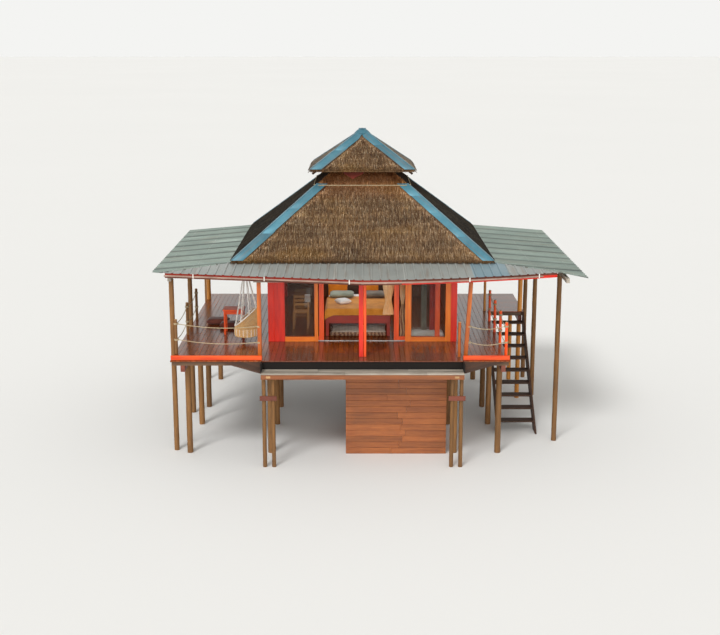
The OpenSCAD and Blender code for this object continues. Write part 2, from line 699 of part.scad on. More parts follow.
module hip_flashings() color("#5fa3c4") on_deck() for (turn = [0:90:270]) rotate([0, 0, turn]) {
    hip_flashing(thatch_half + 10, hip_end, thatch_z(thatch_half + 10), thatch_z(hip_end));
    hip_flashing(cap_half + 10, 0, cap_z(cap_half + 10) + 1, cap_z(0) + 1);
}

// Gap that keeps two lengths of gutter apart where they meet at an angle
gutter_gap = 7;
gutter_stations = [for (x = [-eave_left + 60, -3200, -1600, 0, 500, 1100, 1750, 2400, 3000, 3600,
    eave_right - 430]) [x, eave_y(x) - 10, front_eave_z - gutter_d]];
module gutter_length(p, q) {
    v = q - p;
    start = p + v / norm(v) * gutter_gap;
    translate(start) rotate([0, 0, atan2(v[1], v[0])]) rotate([90, 0, 90])
        linear_extrude(height = norm(v) - 2 * gutter_gap) difference() {
            circle(d = gutter_d, $fn = 32);
            circle(d = gutter_d - 8, $fn = 32);
            translate([-gutter_d, 0]) square([2 * gutter_d, gutter_d]);
        }
}
module gutter() color("#cfc6b0") on_deck() for (i = [0:len(gutter_stations) - 2])
    gutter_length(gutter_stations[i], gutter_stations[i + 1]);

left_rail_rows = [-3850, -2000, -300];
right_rail_rows = [-4100, -2900, -1700, -500];
short_post_x = front_post_x - 140;
// Gap between a rope's end and its post
rope_gap = 5;
module railing_posts() color("#c9762c") on_deck() {
    for (y = left_rail_rows)
        pole([-rail_line_left, y, 0], [-rail_line_left, y, rail_post_h], rail_post_d);
    for (y = right_rail_rows)
        pole([rail_line_right, y, 0], [rail_line_right, y, rail_post_h], rail_post_d);
    pole([short_post_x, -front_post_y, 0], [short_post_x, -front_post_y, rail_post_h], rail_post_d);
}

module railing_ropes() color("#b7a78c") on_deck() for (z = [rope_upper, rope_lower]) {
    off_post = rail_post_d / 2 + rope_gap;
    for (i = [0:1]) rope_span([-rail_line_left, left_rail_rows[i] + off_post, z],
        [-rail_line_left, left_rail_rows[i + 1] - off_post, z], rope_sag, rope_d);
    for (i = [0:2]) rope_span([rail_line_right, right_rail_rows[i] + off_post, z],
        [rail_line_right, right_rail_rows[i + 1] - off_post, z], rope_sag, rope_d);
    rope_span([-rail_line_left + off_post, left_rail_rows[0], z],
        [-front_post_x - front_post_w / 2 - rope_gap, -front_post_y, z], rope_sag, rope_d);
    rope_span([front_post_x + 110, -front_post_y, z],
        [rail_line_right - off_post, right_rail_rows[0], z], rope_sag, rope_d);
}

stair_len = (riser_count - 1) * tread_going;
module stair_sides() color("#b46a30") on_deck() for (x = [deck_right + 20, landing_right - stringer_t])
    translate([x + stringer_t, 0, 0]) rotate([90, 0, -90]) linear_extrude(height = stringer_t)
        polygon([[-landing_front, 0], [-landing_front, -stringer_h - riser_h / 2],
            [-landing_front + (deck_level - stringer_h - riser_h / 2) * tread_going / riser_h, -deck_level],
            [-landing_front + deck_level * tread_going / riser_h, -deck_level]]);

module stair_treads() color("#c07a3c") on_deck() for (i = [1:riser_count - 1])
    box([deck_right + 20 + stringer_t, tread_front(i), tread_top(i) - tread_t],
        [landing_right - stringer_t, tread_front(i) + tread_going - 10, tread_top(i)]);

bed_front = -room_half_y + 560;
bed_x = -115;
bed_rail = 215;
module bed_frame() color("#8a3a20") on_deck() translate([bed_x, bed_front, 0]) {
    box([-bed_w / 2, 0, bed_h - bed_rail], [bed_w / 2, bed_len, bed_h]);
    box([-bed_w / 2, bed_len, 0], [bed_w / 2, bed_len + 50, headboard_h]);
    for (side = [-1, 1]) translate([side * (bed_w / 2 - 50), 60, (bed_h - bed_rail) / 2])
        cube([90, 90, bed_h - bed_rail], center = true);
}
module bedding() color("#d8a038") on_deck() translate([bed_x, bed_front, bed_h]) {
    box([-bed_w / 2 + 30, 40, 0], [bed_w / 2 - 30, bed_len - 5, mattress_t]);
    for (side = [-1, 1]) translate([side * bed_w / 4, bed_len - 230, mattress_t + 60])
        cube([620, 380, 120], center = true);
}

chair_seat = 430;
module inner_chair() color("#b5622c") on_deck() translate([-room_half_x + 730, -room_half_y + 1530, 0]) {
    translate([0, 0, chair_seat - 15]) cube([400, 400, 30], center = true);
    for (sx = [-1, 1]) {
        translate([sx * 180, -180, (chair_seat - 30) / 2]) cube([40, 40, chair_seat - 30], center = true);
        translate([sx * 180, 180, 405]) cube([40, 40, 810], center = true);
    }
    for (z = [560, 660, 760]) translate([0, 180, z]) cube([320, 24, 60], center = true);
}

// Panels that hang inside the front wall: left and right edge, measured from the doorway's right edge
curtain_spans = [[-550, -260], [390, 530], [600, 760]];
module curtains() color("#b0482c") on_deck() for (span = curtain_spans)
    box([door_right + span[0], -room_half_y + header_t + 40, 60],
        [door_right + span[1], -room_half_y + header_t + 70, head_h + 60]);

// The mat that is stored under the bed and the bolster behind the right window
module under_bed_mat() color("#b39a72") on_deck()
    translate([bed_x - bed_w / 2 + 110, bed_front - 10, 0]) cube([bed_w - 220, 730, 130]);
module window_bolster() color("#e6e2da") on_deck()
    translate([door_right + right_window_stile, -room_half_y + header_t + 110, 0]) cube([830, 380, 190]);

table_x = -room_half_x - 920;
table_y = -room_half_y + 900;
module veranda_table() color("#c0571f") on_deck() translate([table_x, table_y, 0]) {
    translate([0, 0, table_h - 15]) cube([table_w, table_w - 80, 30], center = true);
    for (sx = [-1, 1], sy = [-1, 1])
        translate([sx * (table_w / 2 - 40), sy * (table_w / 2 - 80), (table_h - 30) / 2])
            cube([45, 45, table_h - 30], center = true);
}

module floor_cushion() color("#b5674a") on_deck()
    translate([-room_half_x - 1750, -room_half_y + 1350, 0]) cube([900, 800, 150]);

chair_x = -room_half_x - 540;
chair_y = side_rafter_rows[0];
hook_pin_d = 16;
hook_rod_d = 12;
hook_half = 40;
hook_drop = 30;
hook_z = side_pole_z(chair_x) - rafter_d / 2 - hook_drop;
chair_hang_z = hook_z - hook_pin_d / 2 - 12;
rim_gap = 9;
rim_angle = atan((basket_h - basket_low) / basket_d);
function rim_z(x) = basket_low + (x + basket_d / 2) * tan(rim_angle);
module hanging_chair() color("#cdb283") on_deck() translate([chair_x, chair_y, basket_clear]) difference() {
    cylinder(d = basket_d, h = basket_h, $fn = 48);
    translate([0, 0, basket_wall]) cylinder(d = basket_d - 2 * basket_wall, h = basket_h, $fn = 48);
    translate([-basket_d / 2, -basket_d, basket_low]) rotate([0, -rim_angle, 0])
        translate([-basket_d, 0, 0]) cube([3 * basket_d, 2 * basket_d, basket_h]);
}
// The steel bar under the roof pole that the chair swings on
module chair_hook() color("#8a8c8c") on_deck() {
    pole([chair_x - hook_half - hook_rod_d, chair_y, hook_z],
        [chair_x + hook_half + hook_rod_d, chair_y, hook_z], hook_pin_d);
    for (x = [chair_x - hook_half, chair_x + hook_half])
        pole([x, chair_y, hook_z], [x, chair_y, side_pole_z(x) - rafter_d / 2 - 1.5], hook_rod_d);
}
module chair_ropes() color("#d8d2c4") on_deck() translate([chair_x, chair_y, basket_clear])
    for (turn = [0:90:270]) {
        x = cos(turn) * (basket_d - basket_wall) / 2;
        y = sin(turn) * (basket_d - basket_wall) / 2;
        knot = [cos(turn) * chair_rope_d, sin(turn) * chair_rope_d, chair_hang_z - basket_clear];
        pole([x, y, rim_z(x) + rim_gap], knot, chair_rope_d);
    }

stilts();
stilt_ties();
bearers();
joists();
deck_floor();
landing_floor();
kerb_boards();
ledge_plank();
ledge_frame();
skirts();
lower_front_wall();
lower_side_walls();
lower_back_wall();
front_posts();
side_poles();
veranda_posts();
corner_posts();
front_header();
front_windows();
window_glass();
door_tracks();
left_door_frame();
left_door_glass();
right_door_frame();
right_door_glass();
left_wall();
right_wall();
back_wall();
ring_beams();
eave_beams();
thatch_poles();
neck_frame();
cap_poles();
metal_roof_poles();
front_fascia();
front_metal_roof();
left_metal_roof();
right_metal_roof();
thatch_front();
thatch_back();
thatch_left();
thatch_right();
cap_thatch();
hip_flashings();
gutter();
railing_posts();
railing_ropes();
stair_sides();
stair_treads();
bed_frame();
bedding();
inner_chair();
curtains();
veranda_table();
floor_cushion();
hanging_chair();
chair_ropes();
chair_hook();
under_bed_mat();
window_bolster();
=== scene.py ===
"""Dresses the stilt house: boards, poles, ribbed sheets, thatch, ropes and furnishings.

Metres. X runs to the right seen from the front, Y to the back and Z up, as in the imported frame.
Every piece is built from the solids of the frame's nodes, so it sits where they are.
"""
import math
import random
from itertools import product

import bmesh
import bpy
import numpy as np
from mathutils import Matrix, Vector, noise


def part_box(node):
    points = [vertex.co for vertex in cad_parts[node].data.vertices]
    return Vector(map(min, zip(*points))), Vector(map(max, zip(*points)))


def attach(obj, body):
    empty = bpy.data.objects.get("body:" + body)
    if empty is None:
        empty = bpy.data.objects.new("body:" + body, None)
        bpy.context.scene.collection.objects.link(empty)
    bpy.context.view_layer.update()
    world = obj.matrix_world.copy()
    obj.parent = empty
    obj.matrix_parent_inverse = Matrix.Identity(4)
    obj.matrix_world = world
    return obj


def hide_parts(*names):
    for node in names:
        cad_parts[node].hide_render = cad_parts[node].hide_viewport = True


bl_info = {
    "name": "Stilt house",
    "version": (1, 0, 0),
    "blender": (4, 5, 0),
    "location": "3D View > Sidebar > Stilt house",
    "description": "Builds the looks of a thatched stilt house around its packed frame",
    "category": "Object",
}

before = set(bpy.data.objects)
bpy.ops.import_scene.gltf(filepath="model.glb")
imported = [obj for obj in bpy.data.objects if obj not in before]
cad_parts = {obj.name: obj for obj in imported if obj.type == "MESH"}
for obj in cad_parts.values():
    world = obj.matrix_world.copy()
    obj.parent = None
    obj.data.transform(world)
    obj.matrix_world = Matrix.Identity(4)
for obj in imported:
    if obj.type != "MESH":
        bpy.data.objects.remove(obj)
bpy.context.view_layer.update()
deck_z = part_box("deck_floor")[1].z
UP, BACK = Vector((0, 0, 1)), Vector((0, 1, 0))
EASED = 0.006           # how far the edges of thick timber are worn off; thin timber has 3 mm
UNDER = 0.02            # how far a drawn roof sheet lies under the top face of its solid
materials = {}


def linear(colour):
    """An sRGB hex colour as linear red, green, blue and alpha."""
    parts = [int(colour[i:i + 2], 16) / 255 for i in (1, 3, 5)]
    return (*(p / 12.92 if p <= 0.04045 else ((p + 0.055) / 1.055) ** 2.4 for p in parts), 1.0)


# ---------------------------------------------------------------- sizes and colours

def metres(name, default, description):
    """A length that the panel shows in metres."""
    return bpy.props.FloatProperty(name=name, description=description, default=default,
                                   unit="LENGTH")


def tint(name, default, description):
    """A colour that the panel shows with a picker."""
    return bpy.props.FloatVectorProperty(name=name, description=description,
                                         default=linear(default), size=4, subtype="COLOR")


class HouseSizes(bpy.types.PropertyGroup):
    """Sizes of the parts that the frame leaves plain."""
    board_width: metres("Deck board", 0.12, "Width of a deck board")
    board_gap: metres("Board gap", 0.004, "Gap between two boards")
    board_length: metres("Board length", 3.2, "Longest deck board")
    wall_board: metres("Wall board", 0.15, "Height of a wall board")
    strand_length: metres("Thatch strand", 0.36, "Length of the longest loose strand")
    strand_width: metres("Strand width", 0.009, "Width of a bundle of thatch leaves")
    rib_pitch: metres("Rib pitch", 0.2, "Distance between two ribs of a roof sheet")
    rib_height: metres("Rib height", 0.018, "Height of the ribs of a roof sheet")
    sheet_width: metres("Sheet width", 0.8, "Cover width of a roof sheet")


class HouseColours(bpy.types.PropertyGroup):
    """Colours that set the look of the house."""
    deck: tint("Deck", "#9e5016", "Lighter grain of the varnished deck boards")
    orange: tint("Orange paint", "#fa6004", "Lighter grain of the orange timber")
    red: tint("Red paint", "#f02a00", "Lighter grain of the red timber")
    flashing: tint("Hip flashing", "#376978", "Blue roof steel over the hips")
    wing: tint("Side roofs", "#75827a", "Faded steel of the side roofs")
    front: tint("Front roof", "#9a9f9b", "Faded steel of the front roof")


# ---------------------------------------------------------------- mesh tools

def bar_faces():
    """Faces of a box with cut edges, which has one point for each axis at each of its corners."""
    def at(corner, axis):
        return 3 * (4 * corner[0] + 2 * corner[1] + corner[2]) + axis
    faces = []
    for axis, (p, q) in enumerate(((1, 2), (0, 2), (1, 0))):
        for side in (0, 1):
            loop = [at({axis: side, p: u, q: v}, axis) for u, v in ((0, 0), (1, 0), (1, 1), (0, 1))]
            faces.append(loop[::-1] if side == (axis == 0) else loop)
    for a, b in ((0, 1), (0, 2), (1, 2)):
        for s, t in product((0, 1), repeat=2):
            near, far = ({a: s, b: t, 3 - a - b: end} for end in (0, 1))
            faces.append([at(near, a), at(far, a), at(far, b), at(near, b)])
    return faces + [[3 * corner + axis for axis in range(3)] for corner in range(8)]


def sheet_faces(rows, columns):
    """Faces of a closed sheet: a grid of points, and the same grid again underneath."""
    low, faces, rim = rows * columns, [], []
    for i, j in product(range(rows - 1), range(columns - 1)):
        a, b = i * columns + j, (i + 1) * columns + j
        faces += [[a, b, b + 1, a + 1], [low + a + 1, low + b + 1, low + b, low + a]]
    for j in range(columns - 1):
        last = (rows - 1) * columns + j
        rim += [(j, j + 1), (last + 1, last)]
    for i in range(rows - 1):
        a, b = i * columns, (i + 1) * columns
        rim += [(b, a), (a + columns - 1, b + columns - 1)]
    return faces + [[a, b, low + b, low + a] for a, b in rim]


def ring_faces(rings, sides):
    """Faces between rings of points, then those that close the first and the last ring."""
    faces = []
    for i, k in product(range(rings - 1), range(sides)):
        a, b = i * sides + k, i * sides + (k + 1) % sides
        faces.append([a, b, b + sides, a + sides])
    return faces + [list(range(sides))[::-1], [(rings - 1) * sides + k for k in range(sides)]]


def circle(count, radius, centre=(0, 0, 0)):
    """Points round a level circle; the last one is the first again."""
    return [Vector(centre) + Vector((math.cos(a), math.sin(a), 0)) * radius
            for a in (math.tau * k / count for k in range(count + 1))]


def carried(path):
    """Each point of a path, two directions across it that don't twist, and the length so far."""
    side, gone, last = None, 0.0, len(path) - 1
    for i, point in enumerate(path):
        along = (path[min(i + 1, last)] - path[max(i - 1, 0)]).normalized()
        if side is None:
            side = along.cross(BACK if abs(along.y) < 0.9 else UP).normalized()
        side = (side - along * side.dot(along)).normalized()
        gone += (point - path[i - 1]).length if i else 0
        yield point, side, along.cross(side), gone


class Solids:
    """Gathers closed solids for one mesh.

    Each point keeps its place in its own board or pole in metres (grain: along, across, through)
    and each solid has one random tone, so that the materials can follow the timber.
    """
    box = bar_faces()

    def __init__(self, seed=1):
        self.random = random.Random(seed)
        self.points, self.faces, self.grain, self.tone, self.slots = [], [], [], [], []

    def add(self, points, faces, grain=None, slot=0, tone=None):
        """Adds a closed solid from its points and faces."""
        start = len(self.points)
        shift = Vector([self.random.uniform(0, 40) for _ in range(3)])
        tone = self.random.random() if tone is None else tone
        self.points += [tuple(p) for p in points]
        self.grain += [tuple(Vector(g) + shift) for g in (grain or points)]
        self.tone += list(tone) if isinstance(tone, (list, tuple)) else [tone] * len(points)
        self.faces += [tuple(start + i for i in f) for f in faces]
        self.slots += [slot] * len(faces)

    def bar(self, start, end, width, depth, up=UP, worn=0.003, slot=0, tone=None):
        """A straight timber with worn edges, its width across and its depth along up."""
        start, end = Vector(start), Vector(end)
        along = (end - start).normalized()
        across = along.cross(up).normalized()
        up = across.cross(along)
        reach, cut = (end - start).length, min(worn, width / 3, depth / 3)
        points, grain = [], []
        for i, j, k, axis in product((0, 1), (-1, 1), (-1, 1), range(3)):
            x = reach * i - (cut * (2 * i - 1) if axis != 0 else 0)
            y = j * (width / 2 - (cut if axis != 1 else 0))
            z = k * (depth / 2 - (cut if axis != 2 else 0))
            points.append(start + along * x + across * y + up * z)
            grain.append((x, y, z))
        self.add(points, self.box, grain, slot, tone)

    def board(self, low, high, slot=0, worn=0.003, tone=None):
        """An upright or flat timber between two corners, its grain along its longest side."""
        low, high = Vector(low), Vector(high)
        size, start, end = high - low, (low + high) / 2, (low + high) / 2
        axis = max(range(3), key=lambda i: size[i])
        start[axis], end[axis] = low[axis], high[axis]
        self.bar(start, end, size[0 if axis else 1], size[1 if axis == 2 else 2],
                 BACK if axis == 2 else UP, worn, slot, tone)

    def tube(self, path, radii, sides=12, slot=0, uneven=0.0):
        """A round solid along a path, closed at both ends; uneven gives a pole its knots."""
        path = [Vector(p) for p in path]
        radii = radii if isinstance(radii, (list, tuple)) else [radii] * len(path)
        points, grain = [], []
        seed = self.random.uniform(0, 50)
        for (p, side, other, gone), radius in zip(carried(path), radii):
            for k in range(sides):
                a, r = math.tau * k / sides, radius
                out = side * math.cos(a) + other * math.sin(a)
                if uneven:
                    r += uneven * noise.noise(Vector((gone * 3, seed + out.x, out.y)))
                points.append(p + out * r)
                grain.append((gone, r * math.cos(a), r * math.sin(a)))
        self.add(points, ring_faces(len(path), sides), grain, slot)

    def pole(self, p, q, radius, slot=0):
        """A peeled pole that tapers a little, with knots and flats, inside its full radius."""
        steps = max(3, int((q - p).length / 0.16))
        radii = []
        for i in range(steps + 1):
            knot = 0.03 if self.random.random() < 0.22 else 0
            radii.append(radius * (0.955 - 0.05 * i / steps + knot))
        self.tube([p.lerp(q, i / steps) for i in range(steps + 1)], radii, 14, slot,
                  uneven=radius * 0.06)

    def rope(self, path, radius, pitch, strands=3):
        """A laid rope: strands that turn round each other along a path."""
        dense = []
        for a, b in zip(path, path[1:]):
            steps = max(1, int((b - a).length / (pitch / 5)))
            dense += [a.lerp(b, i / steps) for i in range(steps)]
        dense.append(path[-1])
        for s in range(strands):
            line = []
            for p, side, other, gone in carried(dense):
                a = math.tau * (gone / pitch + s / strands)
                line.append(p + (side * math.cos(a) + other * math.sin(a)) * radius * 0.46)
            self.tube(line, radius * 0.52, 5)

    def plate(self, outline, extrude, slot=0, along=None):
        """A flat plate: an outline of points, and the vector through its thickness."""
        outline, extrude = [Vector(p) for p in outline], Vector(extrude)
        n = len(outline)
        along = Vector(along or (outline[1] - outline[0])).normalized()
        through = extrude.normalized()
        across = through.cross(along)
        points = outline + [p + extrude for p in outline]
        grain = [(p.dot(along), p.dot(across), p.dot(through)) for p in points]
        faces = [list(range(n))[::-1], [n + i for i in range(n)]]
        faces += [[i, (i + 1) % n, n + (i + 1) % n, n + i] for i in range(n)]
        self.add(points, faces, grain, slot)

    def skin(self, rows, thickness, slot=0, tone=None, grain=None):
        """A thin closed sheet over rows of points, as thick as the vector given."""
        top = [Vector(p) for row in rows for p in row]
        points = top + [p - Vector(thickness) for p in top]
        self.add(points, sheet_faces(len(rows), len(rows[0])), grain and grain * 2, slot, tone)

    def cloth(self, rows, columns, thickness, place):
        """A thin sheet; place gives the point and the grain in a row and a column."""
        both = [[place(j, i) for i in range(columns + 1)] for j in range(rows + 1)]
        self.skin([[point for point, _ in row] for row in both], thickness,
                  grain=[grain for row in both for _, grain in row])

    def piece(self, name, finishes, node=None, body="house", slot=None, smooth=40):
        """Makes the object, rides it on its body and hides the node that it stands for."""
        mesh = bpy.data.meshes.new(name)
        mesh.from_pydata(self.points, [], self.faces)
        mesh.attributes.new("grain", "FLOAT_VECTOR", "POINT").data.foreach_set(
            "vector", np.array(self.grain, dtype=np.float32).ravel())
        mesh.attributes.new("tone", "FLOAT", "POINT").data.foreach_set(
            "value", np.array(self.tone, dtype=np.float32))
        for finish in finishes.split():
            mesh.materials.append(materials[finish])
        mesh.polygons.foreach_set("material_index", self.slots)
        bm = bmesh.new()
        bm.from_mesh(mesh)
        bmesh.ops.recalc_face_normals(bm, faces=bm.faces)
        bm.to_mesh(mesh)
        bm.free()
        mesh.polygons.foreach_set("use_smooth", [True] * len(mesh.polygons))
        mesh.set_sharp_from_angle(angle=math.radians(smooth))
        piece = bpy.data.objects.new(name, mesh)
        bpy.context.scene.collection.objects.link(piece)
        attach(piece, body)
        if node:
            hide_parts(node)
        slot or node
        return piece


def islands(name):
    """The separate solids of a CAD node, each an array of its points, in a fixed order."""
    bm = bmesh.new()
    bm.from_mesh(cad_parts[name].data)
    bmesh.ops.remove_doubles(bm, verts=bm.verts, dist=1e-5)
    seen, groups = set(), []
    for first in bm.verts:
        stack, group = [first], []
        while stack:
            vert = stack.pop()
            if vert not in seen:
                seen.add(vert)
                group.append(tuple(vert.co))
                stack += [edge.other_vert(vert) for edge in vert.link_edges]
        if group:
            groups.append(np.array(sorted(group)))
    bm.free()
    return sorted(groups, key=lambda g: tuple(np.round((g.min(0) + g.max(0)) / 2, 3)))


def corners(points):
    """The lowest and highest corner of a solid."""
    return Vector(points.min(0)), Vector(points.max(0))


def levels(node, axis):
    """The places along an axis where a node's corners are, in order."""
    found = sorted({round(vertex.co[axis], 4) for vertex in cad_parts[node].data.vertices})
    return [a for a, b in zip(found, found[1:] + [math.inf]) if b - a > 0.0015]


def ends(points):
    """Both ends of a long solid's middle line, the lower or more negative first, and its radius."""
    middle = points.mean(0)
    axis = np.linalg.svd(points - middle, full_matrices=False)[2][0]
    places = (points - middle) @ axis
    p, q = Vector(middle + axis * places.min()), Vector(middle + axis * places.max())
    radius = float(np.linalg.norm(points - middle - np.outer(places, axis), axis=1).max())
    key = max(range(3), key=lambda i: abs((q - p)[i]))
    return (p, q, radius) if p[key] < q[key] else (q, p, radius)


def top_line(name, axis, value, count):
    """Points along the upper face of a roof node where it crosses a plane, evenly spread."""
    mesh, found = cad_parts[name].data, {}
    for edge in mesh.edges:
        a, b = (mesh.vertices[i].co for i in edge.vertices)
        if (a[axis] - value) * (b[axis] - value) <= 0 and abs(a[axis] - b[axis]) >= 1e-9:
            p = a.lerp(b, (value - a[axis]) / (b[axis] - a[axis]))
            key = round(p[1 - axis], 3)
            found[key] = max(found.get(key, -99), p.z)
    if len(found) < 2:
        return None
    places, line = sorted(found), []
    for t in np.linspace(places[0], places[-1], count):
        point = Vector((0, 0, float(np.interp(t, places, [found[p] for p in places]))))
        point[axis], point[1 - axis] = value, t
        line.append(point)
    return line


def clip(outline, normal, offset):
    """The part of an outline whose points lie below offset along normal."""
    kept = []
    for a, b in zip(outline, outline[1:] + outline[:1]):
        da, db = a.dot(normal) - offset, b.dot(normal) - offset
        if da <= 0:
            kept.append(a)
        if da * db < 0:
            kept.append(a.lerp(b, da / (da - db)))
    return kept


# ---------------------------------------------------------------- materials

def add(tree, kind, inputs=None, stops=None, **settings):
    """Adds one shader node with its settings; an input is a value, a node or a node's socket."""
    node = tree.nodes.new("ShaderNode" + kind)
    for name, value in settings.items():
        setattr(node, name, value)
    for name, value in (inputs or {}).items():
        if isinstance(value, bpy.types.Node):
            value = value.outputs[0]
        if isinstance(value, bpy.types.NodeSocket):
            tree.links.new(value, node.inputs[name])
        else:
            node.inputs[name].default_value = value
    if stops:
        ramp = node.color_ramp
        while len(ramp.elements) < len(stops):
            ramp.elements.new(0.5)
        for element, (place, colour) in zip(ramp.elements, stops):
            element.position = place
            element.color = linear(colour) if isinstance(colour, str) else colour
    return node


def surface(name, colour, inputs):
    """A material painted by colour, a function that is given the node tree.

    It returns the sockets of base colour and height, the bump's depth, and roughness or None.
    """
    material = bpy.data.materials.new(name)
    material.use_nodes = True
    tree = material.node_tree
    shader = next(n for n in tree.nodes if n.type == "BSDF_PRINCIPLED")
    paint, height, depth, rough = colour(tree)
    for socket, value in inputs.items():
        shader.inputs[socket].default_value = value
    tree.links.new(paint, shader.inputs["Base Color"])
    if height is not None:
        bump = add(tree, "Bump", {"Height": height, "Distance": depth, "Strength": 0.8})
        tree.links.new(bump.outputs[0], shader.inputs["Normal"])
    if rough is not None:
        tree.links.new(rough, shader.inputs["Roughness"])
    return material


def attribute(tree, name):
    """The socket of grain, a point's place in its own board, or of tone, its solid's shade."""
    return add(tree, "Attribute", attribute_name=name).outputs["Fac" if name == "tone" else "Vector"]


def timber(name, dark, light, ior=1.5, grain_mm=7, streaks=0.55, relief=0.0006, soil="#4b3a2b",
           soiled=0.3, tones=(0.78, 1.16), rough=(0.38, 0.58), extra=None):
    """Sawn or peeled timber: growth lines along it, a tone for each piece, and dirt in patches."""
    def colour(tree):
        grain = attribute(tree, "grain")
        # Real growth lines are 1 to 3 mm apart; they are drawn coarser, so that they show
        across = 1000 / grain_mm
        lines = add(tree, "Mapping", {"Vector": grain, "Scale": (5, across, across)})
        fine = add(tree, "TexNoise", {"Vector": lines, "Scale": 1.0, "Detail": 4.0, "Roughness": 0.6})
        # Bands of darker wood are about 60 mm wide
        bands = add(tree, "Mapping", {"Vector": grain, "Scale": (1.3, 16, 16)})
        broad = add(tree, "TexNoise", {"Vector": bands, "Scale": 1.0, "Detail": 2.0})
        both = add(tree, "Mix", {0: streaks, 2: broad, 3: fine}, data_type="FLOAT")
        wood = add(tree, "ValToRGB", {0: both}, [(0.3, dark), (0.72, light)])
        level = add(tree, "MapRange", {0: attribute(tree, "tone"), 3: tones[0], 4: tones[1]})
        shade = add(tree, "HueSaturation", {"Color": wood, "Value": level})
        place = add(tree, "TexCoord").outputs["Object"]
        patches = add(tree, "TexNoise", {"Vector": place, "Scale": 1.7, "Detail": 6.0,
                                         "Roughness": 0.65})
        dirt = add(tree, "MapRange", {0: patches, 1: 0.48, 2: 0.75, 3: 0.0, 4: soiled})
        final = add(tree, "Mix", {0: dirt, 6: shade, 7: linear(soil)}, data_type="RGBA").outputs[2]
        if extra:
            final = extra(tree, final, fine)
        gloss = add(tree, "MapRange", {0: both, 3: rough[0], 4: rough[1]})
        return final, fine.outputs[0], relief, gloss.outputs[0]
    return surface(name, colour, {"IOR": ior})


def weathered_front(tree, colour, fine):
    """Sun and feet bleach the open front of the deck to a pinkish red."""
    place = add(tree, "SeparateXYZ", {0: add(tree, "TexCoord").outputs["Object"]})
    low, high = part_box("ledge_plank")
    # It ends a metre back from the ledge's front edge, and where the ledge ends at each side
    depth = add(tree, "MapRange", {0: place.outputs["Y"], 1: low.y + 1.0, 2: low.y + 1.15,
                                   3: 0.8, 4: 0.0})
    width = add(tree, "Math", {0: place.outputs["X"]}, operation="ABSOLUTE")
    side = add(tree, "MapRange", {0: width, 1: high.x - 0.1, 2: high.x + 0.02, 3: 1.0, 4: 0.0})
    where = add(tree, "Math", {0: depth, 1: side}, operation="MULTIPLY")
    worn = add(tree, "ValToRGB", {0: fine}, [(0.3, "#4c2418"), (0.7, "#7e4a34")])
    return add(tree, "Mix", {0: where, 6: colour, 7: worn}, data_type="RGBA").outputs[2]


def coloured(tree, scale, low, high, stretch=(1, 1, 1)):
    """A patchy mix of two colours with the patches scale times a metre."""
    place = add(tree, "TexCoord").outputs["Object"]
    moved = add(tree, "Mapping", {"Vector": place, "Scale": stretch})
    patches = add(tree, "TexNoise", {"Vector": moved, "Scale": scale, "Detail": 4.0,
                                     "Roughness": 0.6})
    return add(tree, "ValToRGB", {0: patches}, [(0.32, low), (0.7, high)]), patches


def patchy(name, low, high, scale, inputs, relief=0, rough=None, stretch=(1, 1, 1)):
    """A surface in patches of two tones, with bumps and a roughness that follow them."""
    def paint(tree):
        base, patches = coloured(tree, scale, low, high, stretch)
        gloss = rough and add(tree, "MapRange", {0: patches, 3: rough[0], 4: rough[1]}).outputs[0]
        return base.outputs[0], patches.outputs[0] if relief else None, relief, gloss
    return surface(name, paint, inputs)


def woven(name, low, high, thread_mm=4, relief=0.0012, stripes=None):
    """Woven cloth: two sets of threads, drawn as coarse as the render needs to show them."""
    def colour(tree):
        base, _ = coloured(tree, 2.5, low, high)
        place = attribute(tree, "grain")
        # A wave is tau / 20 long at scale 1, so a thread is drawn tau times as wide as it is
        threads = 1000 / thread_mm
        warp, weft = (add(tree, "TexWave", {"Vector": place, "Scale": threads / 20,
                                            "Distortion": 0.4}, bands_direction=axis)
                      for axis in "XY")
        weave = add(tree, "Math", {0: warp, 1: weft}, operation="MULTIPLY")
        shade = add(tree, "MapRange", {0: weave, 3: 0.9, 4: 1.06})
        final = add(tree, "HueSaturation", {"Color": base, "Value": shade})
        if stripes:
            final = stripes(tree, final, place)
        return final.outputs[0], weave.outputs[0], relief, None
    return surface(name, colour, {"Roughness": 0.85, "Sheen Weight": 0.25, "Sheen Roughness": 0.5,
                                  "IOR": 1.5})


def banded(tree, colour, place):
    """Wavy bands of brown and straw across a woven mat, about 100 mm apart."""
    wave = add(tree, "TexWave", {"Vector": place, "Scale": 3.2, "Distortion": 6.0, "Detail": 2.0})
    marks = add(tree, "ValToRGB", {0: wave}, [(0.45, "#7a4020"), (0.6, "#dcb488")])
    mixed = add(tree, "Mix", {0: 0.7, 6: colour.outputs[0], 7: marks}, data_type="RGBA")
    return add(tree, "HueSaturation", {"Color": mixed.outputs[2]})


